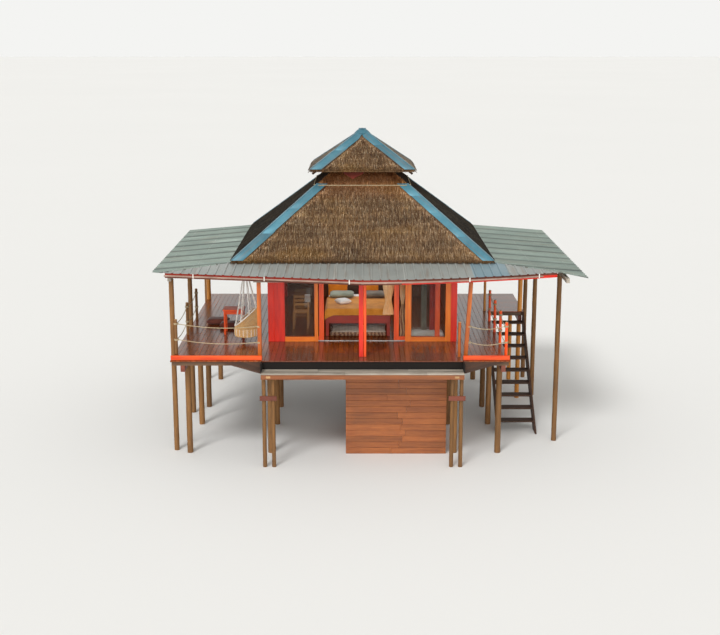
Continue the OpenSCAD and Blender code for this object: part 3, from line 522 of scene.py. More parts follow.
def coated_steel(name, colour, fade, stained=0.5):
    """Coil-coated roof steel: a tone for each sheet that also carries painted highlights and shade,
    chalky fading, and runs of dirt downhill.
    """
    def paint(tree):
        level = add(tree, "MapRange", {0: attribute(tree, "tone"), 1: -1.0, 2: 1.0, 3: 0.45,
                                       4: 1.35})
        shade = add(tree, "HueSaturation", {"Color": colour})
        place = add(tree, "TexCoord").outputs["Object"]
        chalk = add(tree, "TexNoise", {"Vector": place, "Scale": 1.4, "Detail": 7.0,
                                       "Roughness": 0.7})
        chalked = add(tree, "MapRange", {0: chalk, 1: 0.4, 2: 0.7, 4: 0.75})
        faded = add(tree, "Mix", {0: chalked, 6: shade, 7: linear(fade)}, data_type="RGBA")
        # Runs of dirt are about 110 mm wide and go on down the sheet
        downhill = add(tree, "Mapping", {"Vector": attribute(tree, "grain"), "Scale": (0.8, 9, 1)})
        streaks = add(tree, "TexNoise", {"Vector": downhill, "Scale": 1.0, "Detail": 5.0})
        stain = add(tree, "MapRange", {0: streaks, 1: 0.52, 2: 0.78, 3: 0.0, 4: stained})
        dirty = add(tree, "Mix", {0: stain, 6: faded.outputs[2], 7: linear("#7d5a3c")},
                    data_type="RGBA")
        final = add(tree, "HueSaturation", {"Color": dirty.outputs[2], "Value": level})
        gloss = add(tree, "MapRange", {0: chalk, 3: 0.38, 4: 0.6})
        return final.outputs[0], chalk.outputs[0], 0.001, gloss.outputs[0]
    return surface(name, paint, {"Metallic": 0.25, "IOR": 1.5})


def dry_thatch(name, darker=1.0):
    """Weathered palm thatch: each leaf bundle its own tone, golden where young and grey where old; a
    darker value below 1 gives a copy with cool painted shade.
    """
    def paint(tree):
        place = add(tree, "TexCoord").outputs["Object"]
        leaf = add(tree, "ValToRGB", {0: attribute(tree, "tone")}, [
            (0.0, "#241a12"), (0.3, "#72583c"), (0.6, "#ae8d64"), (0.82, "#e4c998"), (1.0, "#fff0d0")])
        bands = add(tree, "Mapping", {"Vector": place, "Scale": (1, 1, 3.5)})
        courses = add(tree, "TexNoise", {"Vector": bands, "Scale": 0.8, "Detail": 5.0})
        aged = add(tree, "ValToRGB", {0: courses}, [(0.36, "#886656"), (0.5, "#b48e70"),
                                                    (0.66, "#ca9e62")])
        mixed = add(tree, "Mix", {0: 0.34, 6: leaf, 7: aged}, data_type="RGBA")
        # A painted warm light on the neck, which lightens the shade that the cap roof casts there
        height = add(tree, "SeparateXYZ", {0: place}).outputs["Z"]
        level = add(tree, "MapRange", {0: height, 1: deck_z + 3.0, 2: deck_z + 4.4})
        neck = add(tree, "ValToRGB", {0: level}, [(0.2, "#000000"), (0.66, "#cccccc"),
                                                  (0.71, "#000000")])
        warm = add(tree, "Mix", {0: neck, 6: mixed.outputs[2], 7: linear("#cc8446")},
                   data_type="RGBA")
        # A cool grey painted shade on the copies for the slopes that get no sun
        cool = add(tree, "Mix", {0: 0.5 * (darker < 1), 6: warm.outputs[2], 7: linear("#5c6e74")},
                   data_type="RGBA")
        shade = add(tree, "HueSaturation", {"Color": cool.outputs[2], "Value": darker})
        # Leaf fibres are 1 or 2 mm wide; they are drawn 11 mm wide, so that they show
        fibre = add(tree, "Mapping", {"Vector": attribute(tree, "grain"), "Scale": (6, 90, 90)})
        strands = add(tree, "TexNoise", {"Vector": fibre, "Scale": 1.0, "Detail": 3.0})
        return shade.outputs[0], strands.outputs[0], 0.006, None
    return surface(name, paint, {"Roughness": 0.9, "IOR": 1.45, "Specular IOR Level": 0.2})


def house_materials():
    """Every finish of the house, named for what it really is."""
    colours = bpy.context.scene.house_colours
    satin = {"rough": (0.3, 0.45)}
    painted = {"streaks": 0.4, "relief": 0.0003, "rough": (0.3, 0.45)}
    timbers = (
        # Spar varnish over hardwood: a wet, warm gloss that mirrors the posts
        ("varnished_hardwood", "#60260a", tuple(colours.deck),
         dict(rough=(0.14, 0.3), soiled=0.2, extra=weathered_front)),
        # Gloss paint over sawn timber: a strong even colour with the grain only just showing
        ("orange_paint", "#d83402", tuple(colours.orange),
         dict(painted, soiled=0.12, tones=(0.88, 1.08))),
        ("red_paint", "#c01400", tuple(colours.red), dict(painted, soiled=0.04, tones=(0.9, 1.08))),
        ("amber_paint", "#dc5806", "#fe9218", dict(painted, soiled=0.08, tones=(0.92, 1.06))),
        # Old white gloss paint: chalky, with dirt in its brush marks
        ("white_paint", "#d4d0c6", "#f0ede6",
         dict(streaks=0.3, tones=(0.94, 1.03), soiled=0.15, soil="#8b8172")),
        # Tinted varnishes: the grain shows clearly under a soft gloss
        ("yellow_varnish", "#b46a1c", "#e29a38", dict(satin, soiled=0.1)),
        ("orange_varnish", "#963e0a", "#d2701c", dict(satin, streaks=0.35, soiled=0.1)),
        # Varnished pine: pale honey and clean
        ("varnished_pine", "#d08640", "#f2b870", dict(satin, soiled=0.0)),
        # Bare planks left to rain: silver grey with dark growth lines
        ("silvered_plank", "#766d61", "#bdb3a4",
         dict(ior=1.45, grain_mm=9, relief=0.0015, rough=(0.7, 0.85))),
        # Old boards with the last of their stain: dull brown; the same dark stands in as painted shade
        # on the poles under the cap roof's eave
        ("old_board", "#2a1a12", "#543624", dict(ior=1.45, relief=0.001, rough=(0.6, 0.8))),
        # Oil-stained softwood boards: warm brown and half matt
        ("stained_board", "#74391a", "#ac652f", dict(soiled=0.25, rough=(0.42, 0.6))),
        # Wall boards oiled dark inside and out
        ("oiled_board", "#542812", "#8a4e26", dict(soiled=0.25, rough=(0.45, 0.6))),
        # Near-black, dull boards: painted shade in the recess of the step and in the gaps between the
        # deck boards
        ("tarred_board", "#0a0806", "#1b130d", dict(ior=1.4, rough=(0.8, 0.95), soiled=0.0)),
        # Brown and red wood stains: deep, even, and half matt; the brown one is also painted shade on
        # the fascia, where the gutter shades it
        ("dark_stain", "#4a2014", "#8a4026", dict(rough=(0.4, 0.55))),
        ("red_stain", "#8c1404", "#c2340c", dict(rough=(0.35, 0.5))),
        # Sawn beams out of the sun: plain brown and dusty
        ("brown_beam", "#3c2c1c", "#745236", dict(rough=(0.5, 0.7))),
        # Fresh end grain and small blocks: pale and dry
        ("pale_wood", "#a87c4c", "#d0a874", dict(soiled=0.1)),
        # Peeled round poles: grey brown, with cracks along them
        ("peeled_pole", "#5a3e22", "#986a38",
         dict(ior=1.45, grain_mm=10, relief=0.002, rough=(0.6, 0.8))),
        # Bamboo: smooth, straw coloured and slightly glossy
        ("bamboo", "#8a6836", "#bd9654", dict(grain_mm=5, rough=(0.4, 0.55))),
    )
    m = {name: timber(name, dark, light, **settings) for name, dark, light, settings in timbers}
    # Roof steels: matt paint gone chalky in the sun, with rusty runs below the screws
    for name, colour, fade, stained in (
            ("faded_steel", tuple(colours.wing), "#8c988e", 0.3),
            ("blue_grey_steel", tuple(colours.front), "#aeb0aa", 0.5),
            ("bluer_steel", linear("#74909b"), "#8fa0a4", 0.25),
            ("blue_steel", tuple(colours.flashing), "#578694", 0.4)):
        m[name] = coated_steel(name, colour, fade, stained)
    # Palm thatch: plain on the sunlit slopes, and copies with painted shade on the sides of the cap roof
    # and, near black, on the side slopes
    m["thatch"] = dry_thatch("palm_thatch")
    m["cap_side_shade_thatch"] = dry_thatch("palm_thatch_cap_side_shade", 0.62)
    m["shaded_thatch"] = dry_thatch("palm_thatch_shaded", 0.12)
    # Float glass with dust on it: smoky and clear; the alpha lets the lamps through the panes
    m["float_glass"] = patchy("float_glass", "#6f7a72", "#9aa59c", 0.9,
                              {"IOR": 1.45, "Transmission Weight": 1.0, "Alpha": 0.2},
                              rough=(0.01, 0.06))
    # Extruded PVC that the sun has yellowed: even, dull and smooth
    m["aged_pvc"] = patchy("aged_pvc", "#8f7263", "#bc9e8e", 3.0, {"IOR": 1.53}, 0.0004,
                           (0.35, 0.55))
    # Mill-finish aluminium and galvanised steel: pale grey metal, dulled by dust
    for name in ("mill_aluminium", "galvanised_steel"):
        m[name] = patchy(name, "#8f8f8c", "#c6c6c2", 12.0, {"Metallic": 1.0}, rough=(0.3, 0.5),
                         stretch=(0.1, 1, 1))
    # Twisted plant fibre: matt, with a pale and a dark side to each strand, 17 mm apart so that
    # they show, where real ones are 5 to 10 mm apart
    for name, low, high in (("hemp_rope", "#8f7c5c", "#cdbd9c"), ("cotton_cord", "#c0925a", "#ecc68c"),
                            ("white_cord", "#dcd6cc", "#fbf8f2")):
        m[name] = patchy(name, low, high, 60.0, {"Roughness": 0.9}, 0.0015)
    # Glazed china: off-white under a clear gloss
    m["glazed_china"] = patchy("glazed_china", "#dedad2", "#fbfaf6", 60.0,
                               {"Roughness": 0.15, "Coat Weight": 0.5}, 0.0015)
    # Dyed cotton, washed often: soft and matt, a little uneven in colour
    for name, low, high in (
            ("red", "#a01e14", "#d83c28"), ("grey", "#5c5348", "#8c8070"),
            ("cream", "#e8aa68", "#fedcae"), ("white", "#ece6dc", "#fdfbf7"),
            ("green", "#7c8474", "#aab09c"), ("yellow", "#c87818", "#f2a63c"),
            ("ochre", "#d06a0a", "#f8961a"), ("pink", "#5a2820", "#824434"),
            ("claret", "#762014", "#9e402c")):
        m[name + "_cotton"] = woven(name + "_cotton", low, high)
    # A plaited mat with wavy bands, and openwork cotton: coarse threads that catch the light
    m["patterned_mat"] = woven("patterned_mat", "#8a5028", "#b8804a", 8, stripes=banded)
    m["lace_cotton"] = woven("lace_cotton", "#c8b294", "#fcf0dc", 12, 0.003)
    return m


def dress(node, finish):
    """Gives a CAD node that stays as it is its real finish."""
    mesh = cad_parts[node].data
    mesh.materials.clear()
    mesh.materials.append(materials[finish])


# ---------------------------------------------------------------- plain timber pieces

def rebuild(node, finish, seed, poles=False, worn=0.004):
    """Makes each solid of a node again as a worn timber or an uneven pole."""
    solids = Solids(seed)
    for points in islands(node):
        if poles:
            solids.pole(*ends(points))
        else:
            solids.board(*corners(points), worn=worn)
    solids.piece(node + "_timber", finish, node)


def runs(solids, start, end, shortest, longest, least):
    """Both ends of each board in a row, with no board shorter than least at its end."""
    at = start
    while at < end - 0.05:
        to = min(at + solids.random.uniform(shortest, longest), end)
        to = end if end - to < least else to
        yield at, to
        at = to


def board_rows(solids, low, high, axis, pitch, holes=()):
    """Boards that lie flat above one another along an axis, cut away where the holes are."""
    gap = 0.0015
    heights = sorted({low.z, high.z, *(z for hole in holes for z in (hole[0].z, hole[1].z))})
    for z0, z1 in zip(heights, heights[1:]):
        count = max(1, round((z1 - z0) / pitch))
        for i in range(count):
            a, b = z0 + (z1 - z0) * i / count, z0 + (z1 - z0) * (i + 1) / count
            spans = [(low[axis], high[axis])]
            for h0, h1 in holes:
                if h0.z < (a + b) / 2 < h1.z:
                    spans = [(low[axis], h0[axis]), (h1[axis], high[axis])]
            for start, end in spans:
                joint = start + (end - start) * solids.random.uniform(0.3, 0.7)
                cuts = [start, end] if end - start < 2.4 else [start, joint, end]
                for s, e in zip(cuts, cuts[1:]):
                    p, q = low.copy(), high.copy()
                    p[axis], q[axis], p.z, q.z = s + gap, e - gap, a + gap, b - gap
                    solids.board(p, q)


class HOUSE_OT_legs(bpy.types.Operator):
    """Peeled stilts and the boards tied across the paired ones"""
    bl_idname = "stilthouse.legs"
    bl_label = "Legs"

    def execute(self, context):
        rebuild("stilts", "peeled_pole", 11, poles=True)
        rebuild("stilt_ties", "dark_stain", 12)
        return {"FINISHED"}


class HOUSE_OT_underfloor(bpy.types.Operator):
    """Bearers and joists under the deck"""
    bl_idname = "stilthouse.underfloor"
    bl_label = "Underfloor"

    def execute(self, context):
        rebuild("bearers", "dark_stain", 13)
        rebuild("joists", "brown_beam", 14)
        return {"FINISHED"}


class HOUSE_OT_deck(bpy.types.Operator):
    """Deck boards, landing boards, kerbs and the ledge along the front"""
    bl_idname = "stilthouse.deck"
    bl_label = "Deck"

    def execute(self, context):
        sizes = context.scene.house_sizes
        shade_sheet = 0.002            # a near-black sheet under the boards: painted shade in their gaps, and it keeps light from below out of them
        for node, axis, seed in (("deck_floor", 1, 21), ("landing_floor", 0, 22)):
            low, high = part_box(node)
            other = 1 - axis
            solids = Solids(seed)
            count = round((high[other] - low[other]) / sizes.board_width)
            width = (high[other] - low[other]) / count
            solids.board(low, (high.x, high.y, low.z + shade_sheet), slot=1, worn=0)
            low.z += shade_sheet
            for i in range(count):
                for at, to in runs(solids, low[axis], high[axis], 0.6 * sizes.board_length,
                                   sizes.board_length, 0.5):
                    p, q = low.copy(), high.copy()
                    p[other] = low[other] + i * width + sizes.board_gap / 2
                    q[other] = low[other] + (i + 1) * width - sizes.board_gap / 2
                    p[axis], q[axis] = at + 0.001, to - 0.001
                    q.z -= solids.random.uniform(0, 0.0015)
                    solids.board(p, q)
            solids.piece(node + "_boards", "varnished_hardwood tarred_board", node)
        rebuild("kerb_boards", "orange_paint", 23, worn=EASED)
        plank, plank_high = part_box("ledge_plank")
        solids = Solids(24)
        width = (plank_high.y - plank.y) / 3
        for i in range(3):
            y = plank.y + width * i
            for at, to in runs(solids, plank.x, plank_high.x, 1.2, 2.2, 0.4):
                solids.board((at + 0.002, y + 0.002, plank.z),
                             (to - 0.002, y + width - 0.002, plank_high.z), worn=0.005)
        solids.piece("ledge_planks", "silvered_plank", "ledge_plank")
        solids, beam = Solids(25), 0.06
        front, edge, back = levels("ledge_frame", 1)
        under, over, top = levels("ledge_frame", 2)
        left, right = levels("ledge_frame", 0)
        solids.board((left, front, under), (right, front + beam, over), worn=EASED)
        # Short joists behind the beam
        for x in np.linspace(left + beam, right - beam, 9):
            solids.board((x - 0.04, front + beam + 0.002, under + 0.01), (x + 0.04, edge, over),
                         tone=0.9)
        # Two near-black boards of painted shade, one over the other, at the back of the step
        for i in range(2):
            z = under + (top - under) * i / 2
            solids.board((left, edge + 0.02, z), (right, back, z + (top - under) / 2 - 0.003), slot=1)
        # Pale blocks near the beam's ends
        for x in (left + 0.17, right - 0.17):
            solids.board((x - 0.05, front - 0.006, under + 0.03), (x + 0.05, front + 0.02, over - 0.03),
                         slot=2)
        # Near-black boards of painted shade that close both ends of the step
        for x in (-plank_high.x, plank_high.x):
            solids.board((x - 0.015, plank.y + 0.06, plank_high.z),
                         (x + 0.015, plank_high.y, deck_z - 0.01), slot=1)
        solids.piece("ledge_beam", "stained_board tarred_board pale_wood", "ledge_frame")
        return {"FINISHED"}


class HOUSE_OT_skirts(bpy.types.Operator):
    """Triangular skirts of boards that run parallel to their lower edges"""
    bl_idname = "stilthouse.skirts"
    bl_label = "Skirts"

    def execute(self, context):
        solids, rows = Solids(31), 4
        for points in islands("skirts"):
            low, high = corners(points)
            inner, outer = (low.x, high.x) if low.x > 0 else (high.x, low.x)
            front = [p for p in points if abs(p[1] - low.y) < 1e-4]
            foot = min(p[2] for p in front)
            tip = min(p[2] for p in front if abs(p[0] - outer) < 1e-3)
            outline = [Vector((x, low.y, z)) for x, z in ((inner, high.z), (outer, high.z),
                                                          (outer, tip), (inner, foot))]
            edge = (outline[2] - outline[3]).normalized()
            down = BACK.cross(edge)
            down = down if down.z < 0 else -down
            first, last = (way(p.dot(down) for p in outline) for way in (min, max))
            for i in range(rows):
                a = first + (last - first) * i / rows
                b = first + (last - first) * (i + 1) / rows - 0.003
                strip = clip(clip(outline, down, b), -down, -a)
                if len(strip) > 2:
                    solids.plate(strip, (0, high.y - low.y, 0), along=edge)
        solids.piece("skirt_boards", "old_board", "skirts")
        return {"FINISHED"}


class HOUSE_OT_lower_room(bpy.types.Operator):
    """The boarded room under the deck"""
    bl_idname = "stilthouse.lower_room"
    bl_label = "Lower room"

    def execute(self, context):
        pitch = context.scene.house_sizes.wall_board
        for i, node in enumerate(("lower_front_wall", "lower_side_walls", "lower_back_wall")):
            solids = Solids(41 + i)
            for points in islands(node):
                low, high = corners(points)
                board_rows(solids, low, high, 0 if high.x - low.x > high.y - low.y else 1, pitch)
            solids.piece(node + "_boards", "stained_board", node)
        return {"FINISHED"}


class HOUSE_OT_posts(bpy.types.Operator):
    """Front posts, tall side poles, veranda posts, corner posts and eave beams"""
    bl_idname = "stilthouse.posts"
    bl_label = "Posts"

    def execute(self, context):
        rebuild("side_poles", "peeled_pole", 51, poles=True)
        rebuild("veranda_posts", "yellow_varnish", 52, poles=True)
        rebuild("corner_posts", "red_paint", 53)
        rebuild("eave_beams", "silvered_plank", 54)
        solids = Solids(55)
        left, middle, right = islands("front_posts")
        solids.board(*corners(left), slot=2, worn=EASED)
        low, high = corners(middle)
        half = low.x + (high.x - low.x) * 0.62          # a red post and an orange one side by side
        solids.board(low, (half - 0.002, high.y, high.z), slot=1, worn=EASED)
        solids.board((half + 0.002, low.y, low.z), high, worn=EASED)
        foot = right[right[:, 2] < right[:, 2].min() + 0.01]
        head = right[right[:, 2] > right[:, 2].max() - 0.01]
        width = float(foot[:, 1].max() - foot[:, 1].min())
        p, q = (Vector((part.min(0) + part.max(0)) / 2) for part in (foot, head))
        solids.bar(p, q, width, width, BACK, EASED, slot=2)
        solids.piece("front_post_timbers", "orange_paint red_paint orange_varnish", "front_posts")
        return {"FINISHED"}


def framed(solids, outer, inner, left_slot=0):
    """Two stiles and two rails round an opening, in the outer box's thickness."""
    (low, high), (hole_low, hole_high) = outer, inner
    solids.board(low, (hole_low.x, high.y, high.z), slot=left_slot)
    solids.board((hole_high.x, low.y, low.z), high)
    for z0, z1 in ((low.z, hole_low.z), (hole_high.z, high.z)):
        solids.board((hole_low.x + 0.001, low.y + 0.002, z0), (hole_high.x - 0.001, high.y - 0.002, z1))


class HOUSE_OT_room(bpy.types.Operator):
    """The room: header, fixed windows, sliding leaves, glass, walls and ring beams"""
    bl_idname = "stilthouse.room"
    bl_label = "Room"

    def execute(self, context):
        rebuild("front_header", "orange_paint", 61)
        rebuild("ring_beams", "stained_board", 62)
        panes = sorted((corners(p) for p in islands("window_glass")), key=lambda box: box[0].y)
        front = sorted(panes[:2], key=lambda box: box[0].x)
        solids = Solids(63)
        for i, (points, pane) in enumerate(zip(islands("front_windows"), front)):
            framed(solids, corners(points), pane, left_slot=1 - i)
        solids.piece("window_frames", "amber_paint red_paint", "front_windows")
        for side in ("left", "right"):
            solids = Solids(64)
            framed(solids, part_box(side + "_door_frame"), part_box(side + "_door_glass"))
            solids.piece(side + "_leaf_frame", "orange_paint", side + "_door_frame", side + "_leaf")
            dress(side + "_door_glass", "float_glass")
        trim = 0.05
        for i, (node, axis) in enumerate((("left_wall", 1), ("right_wall", 1), ("back_wall", 0))):
            solids = Solids(65 + i)
            low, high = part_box(node)
            hole = min(panes, key=lambda box: ((box[0] + box[1]) / 2 - (low + high) / 2).length)
            board_rows(solids, low, high, axis, context.scene.house_sizes.wall_board, [hole])
            hole_low, hole_high = hole[0].copy(), hole[1].copy()
            hole_low[1 - axis], hole_high[1 - axis] = low[1 - axis], high[1 - axis]
            for z in (hole_low.z, hole_high.z - trim):
                p, q = hole_low.copy(), hole_high.copy()
                p.z, q.z = z, z + trim
                solids.board(p, q, slot=1)
            for t in (hole_low[axis], (hole_low[axis] + hole_high[axis] - trim) / 2,
                      hole_high[axis] - trim):
                p, q = hole_low.copy(), hole_high.copy()
                p[axis], q[axis], p.z, q.z = t, t + trim, hole_low.z + trim, hole_high.z - trim
                solids.board(p, q, slot=1)
            solids.piece(node + "_boards", "oiled_board orange_paint", node)
        dress("window_glass", "float_glass")
        dress("door_tracks", "mill_aluminium")
        return {"FINISHED"}


# ---------------------------------------------------------------- roofs

class HOUSE_OT_roof_timber(bpy.types.Operator):
    """Poles under the thatch and the sheets, the neck frame and the red fascia"""
    bl_idname = "stilthouse.roof_timber"
    bl_label = "Roof timber"

    def execute(self, context):
        rebuild("thatch_poles", "bamboo", 71, poles=True)
        rebuild("neck_frame", "bamboo", 72)
        # The cap's poles are dark: painted shade, as they sit in the shadow under the cap roof's eave
        rebuild("cap_poles", "old_board", 73, poles=True)
        rebuild("metal_roof_poles", "bamboo", 74, poles=True)
        solids = Solids(75)
        points = islands("front_fascia")[0]
        low, high = points[:, 2].min(), points[:, 2].max()
        base = sorted({(round(p[0], 4), round(p[1], 4)) for p in points if p[2] < low + 1e-4})
        stations = sorted({x for x, _ in base})
        split = (high - low) * 0.55     # two boards, one over the other
        for x0, x1 in zip(stations, stations[1:]):
            (a0, b0), (a1, b1) = ((min(y for x, y in base if x == s), max(y for x, y in base if x == s))
                                  for s in (x0, x1))
            outline = [(x0 + 0.001, a0), (x1 - 0.001, a1), (x1 - 0.001, b1), (x0 + 0.001, b0)]
            left = x1 < 1.2             # red over a dark board of painted shade up to here, and the dark board over red past it
            solids.plate([(x, y, low) for x, y in outline], (0, 0, split - 0.002),
                         slot=1 if left else 0)
            solids.plate([(x, y, low + split) for x, y in outline], (0, 0, high - low - split),
                         slot=2 if left else 1)
        solids.piece("fascia_boards", "red_paint dark_stain red_stain", "front_fascia")
        return {"FINISHED"}


def rib_profile(sizes, start, end):
    """Places and heights of a ribbed sheet's bends between start and end."""
    foot, crest = 0.028, 0.012
    places = [(start, 0.0)]
    at = math.ceil(start / sizes.rib_pitch) * sizes.rib_pitch
    while at < end:
        for offset, level in ((-foot, 0), (-crest, 1), (crest, 1), (foot, 0)):
            if start < at + offset < end:
                places.append((at + offset, level * sizes.rib_height))
        at += sizes.rib_pitch
    return places + [(end, 0.0)]


class HOUSE_OT_metal_roofs(bpy.types.Operator):
    """Ribbed steel sheets over the verandas, and their screws"""
    bl_idname = "stilthouse.metal_roofs"
    bl_label = "Metal roofs"

    def execute(self, context):
        sizes = context.scene.house_sizes
        step, overlap = 0.0012, 0.03    # every other sheet lies a step higher, over its neighbours
        screws = Solids(84)
        for node, axis, finish, seed in (("front_metal_roof", 0, "blue_grey_steel", 81),
                                         ("left_metal_roof", 1, "faded_steel", 82),
                                         ("right_metal_roof", 1, "faded_steel", 83)):
            low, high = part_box(node)
            solids = Solids(seed)
            at, lap = low[axis] + 0.002, 0.0
            while at < high[axis] - overlap:
                to = min(at + sizes.sheet_width, high[axis] - 0.002)
                rows, grain, tones = [], [], []
                own = solids.random.uniform(0.0, 1.0)
                stop = min(to + overlap, high[axis] - 0.001)
                for place, height in rib_profile(sizes, at, stop):
                    line = top_line(node, axis, place, 8)
                    if line is None:
                        continue
                    rows.append([p + UP * (height - UNDER + step + lap) for p in line])
                    grain += [(p[1 - axis], p[axis], p.z) for p in line]
                    across = (place - at) / (stop - at)
                    # Painted highlights on the laps and painted shade in the pans in front; beside each
                    # lap at the sides, painted shade that is partly dirt
                    if axis == 0:
                        tone = 0.9 if across < 0.01 else 0.25 * own - 0.2 * (height == 0)
                    else:
                        tone = 0.35 * own - 1.3 + 1.5 * min(1, 3 * across) - 0.8 * max(0, across - 0.7)
                    tones += [tone] * len(line)
                if len(rows) > 1:
                    newer = axis == 0 and 1.8 < at < 3.3    # two sheets that were put on later
                    solids.skin(rows, (0, 0, 0.0008), int(newer), tones + tones, grain)
                at, lap = to, step - lap
            solids.piece(node + "_sheets", finish + " bluer_steel", node, smooth=25)
            # Three screws on every rib: near the eave, in the middle and near the ridge
            pitch = sizes.rib_pitch
            for k in range(math.ceil(low[axis] / pitch), int(high[axis] / pitch) + 1):
                line = top_line(node, axis, k * pitch, 9)
                for p in (line[1], line[4], line[7]) if line else ():
                    foot = p + UP * (sizes.rib_height - UNDER)
                    screws.tube([foot, foot + UP * 0.006, foot + UP * 0.009], [0.011, 0.011, 0.005], 8)
        screws.piece("roof_screws", "galvanised_steel", slot="front_metal_roof")
        return {"FINISHED"}


class Slope:
    """One slope of a thatched roof, with places on it given by half width and along the eaves."""

    def __init__(self, solids):
        points = max(solids, key=len)
        middle = Vector((*points[:, :2].mean(0), 0)).normalized()
        self.out = Vector((round(middle.x), round(middle.y), 0))
        self.side = UP.cross(self.out)
        reach = points @ np.array(self.out)
        self.h0, self.h1 = float(reach.max()), float(reach.min())
        eave, ridge = (points[abs(reach - h) < 1e-3][:, 2] for h in (self.h0, self.h1))
        self.z0, self.low = float(eave.max()), float(eave.min())
        self.thick = float(ridge.max() - ridge.min())
        self.rise = (float(ridge.max()) - self.z0) / (self.h0 - self.h1)
        self.down = (self.out - UP * self.rise).normalized()
        self.normal = self.side.cross(self.down)
        self.normal = self.normal if self.normal.z > 0 else -self.normal

    def at(self, h, t, lift=0.0):
        """The point at half width h, t from -1 to 1 along it, lift over the surface."""
        z = self.z0 + (self.h0 - h) * self.rise
        return self.out * h + self.side * (h * t) + UP * z + self.normal * lift

    def slab(self, solids, rows=26, columns=44):
        """A lumpy closed slab inside the CAD slope."""
        points = []
        for i, j in product(range(rows + 1), range(columns + 1)):
            p = self.at(self.h0 + (self.h1 - self.h0) * i / rows, -1 + 2 * j / columns)
            lump = noise.noise(p * 2.3) * 0.5 + noise.noise(p * 7) * 0.3
            points.append(p + self.normal * (-0.022 + 0.012 * lump))
        for p in points[:]:
            points.append(Vector((p.x, p.y, max(p.z - self.thick + 0.03, self.low + 0.004))))
        grain = [(p.dot(self.down), p.dot(self.side), p.dot(self.normal)) for p in points]
        solids.add(points, sheet_faces(rows + 1, columns + 1), grain, tone=0.25)

    def strands(self, count, length, width, seed, flashed):
        """Thin leaf bundles that lie down the slope, as arrays of points, faces, grain and tone."""
        rng = np.random.default_rng(seed)
        course, droop = 0.2, 0.08       # courses are 0.2 m apart; tips hang over the eave by 0.08
        # Roots lie evenly over the slope, gather at the courses, and 7 % of them line the eave
        h = np.sqrt(self.h1 ** 2 + rng.random(count) * (self.h0 ** 2 - self.h1 ** 2))
        h = np.minimum(np.ceil(h / course) * course - rng.random(count) ** 2 * course * 0.8, self.h0)
        h = np.maximum(h, self.h1 + 0.002)
        edge = int(count * 0.07)
        h[:edge] = self.h0 - rng.random(edge) * 0.1
        t = rng.uniform(-1, 1, count)
        out, side, down, normal = (np.array(v) for v in (self.out, self.side, self.down, self.normal))
        root = (np.outer(h, out) + np.outer(h * t, side)
                + np.outer(self.z0 + (self.h0 - h) * self.rise, UP))
        long = length * rng.uniform(0.35, 1.0, count)
        reach = (self.h0 - h) / max(1e-6, abs(self.down.dot(self.out)))
        long = np.minimum(long, reach + rng.uniform(0.0, droop, count) + 0.01)
        heading = down + np.outer(rng.normal(0, 0.07, count), side)
        heading /= np.linalg.norm(heading, axis=1)[:, None]
        lift = rng.uniform(-0.010, 0.006, count)
        tip_lift = rng.uniform(-0.004, 0.016, count)
        # Strands under the hip flashings lie flat
        covered = (h * (1 - np.abs(t)) < 0.33) & (h > flashed)
        lift = np.where(covered, -0.022, lift)
        tip_lift = np.where(covered, -0.016, tip_lift)
        start = root - heading * 0.02 + np.outer(lift - 0.014, normal)
        tip = root + heading * long[:, None] + np.outer(tip_lift, normal)
        tip[:, 2] -= np.clip(long - reach, 0, None) * 0.35
        half = np.cross(heading, normal) * (width * rng.uniform(0.5, 1.1, count) / 2)[:, None]
        middle = root + heading * (long * 0.3)[:, None] + np.outer(lift + 0.008, normal)
        points = np.stack([start - half, start + half, middle, tip], axis=1)
        faces = np.array([[0, 1, 2], [0, 2, 3], [1, 3, 2], [0, 3, 1]])
        offsets = (np.arange(count) * 4)[:, None, None]
        along = np.stack([long * 0, long * 0, long * 0.3, long], axis=1)
        grain = np.stack([along, np.repeat((h * t)[:, None], 4, 1), np.repeat(h[:, None], 4, 1)], axis=2)
        # Painted shade in the neck's corners, and a little darker at the eave
        tone = np.clip(rng.normal(0.5, 0.36, count), 0, 1)
        tone *= 1 - 0.85 * np.clip((np.abs(t) - 0.72) * 9, 0, 1) * (h < 1.2)
        tone *= 0.8 + 0.2 * np.clip((self.h0 - h) / 0.12, 0, 1)
        return (points.reshape(-1, 3), (faces[None] + offsets).reshape(-1, 3),
                grain.reshape(-1, 3), np.repeat(tone, 4))


def thatch_mesh(name, slope, finish, count, length, width, seed, node, flashed):
    """One object from a slab and its strands."""
    solids = Solids(seed)
    slope.slab(solids)
    base = len(solids.points)
    points, faces, grain, tone = slope.strands(count, length, width, seed, flashed)
    solids.points += [tuple(p) for p in points.tolist()]
    solids.faces += [tuple(f) for f in (faces + base).tolist()]
    solids.grain += [tuple(g) for g in grain.tolist()]
    solids.tone += tone.tolist()
    solids.slots += [0] * len(faces)
    solids.piece(name, finish, node, smooth=60)


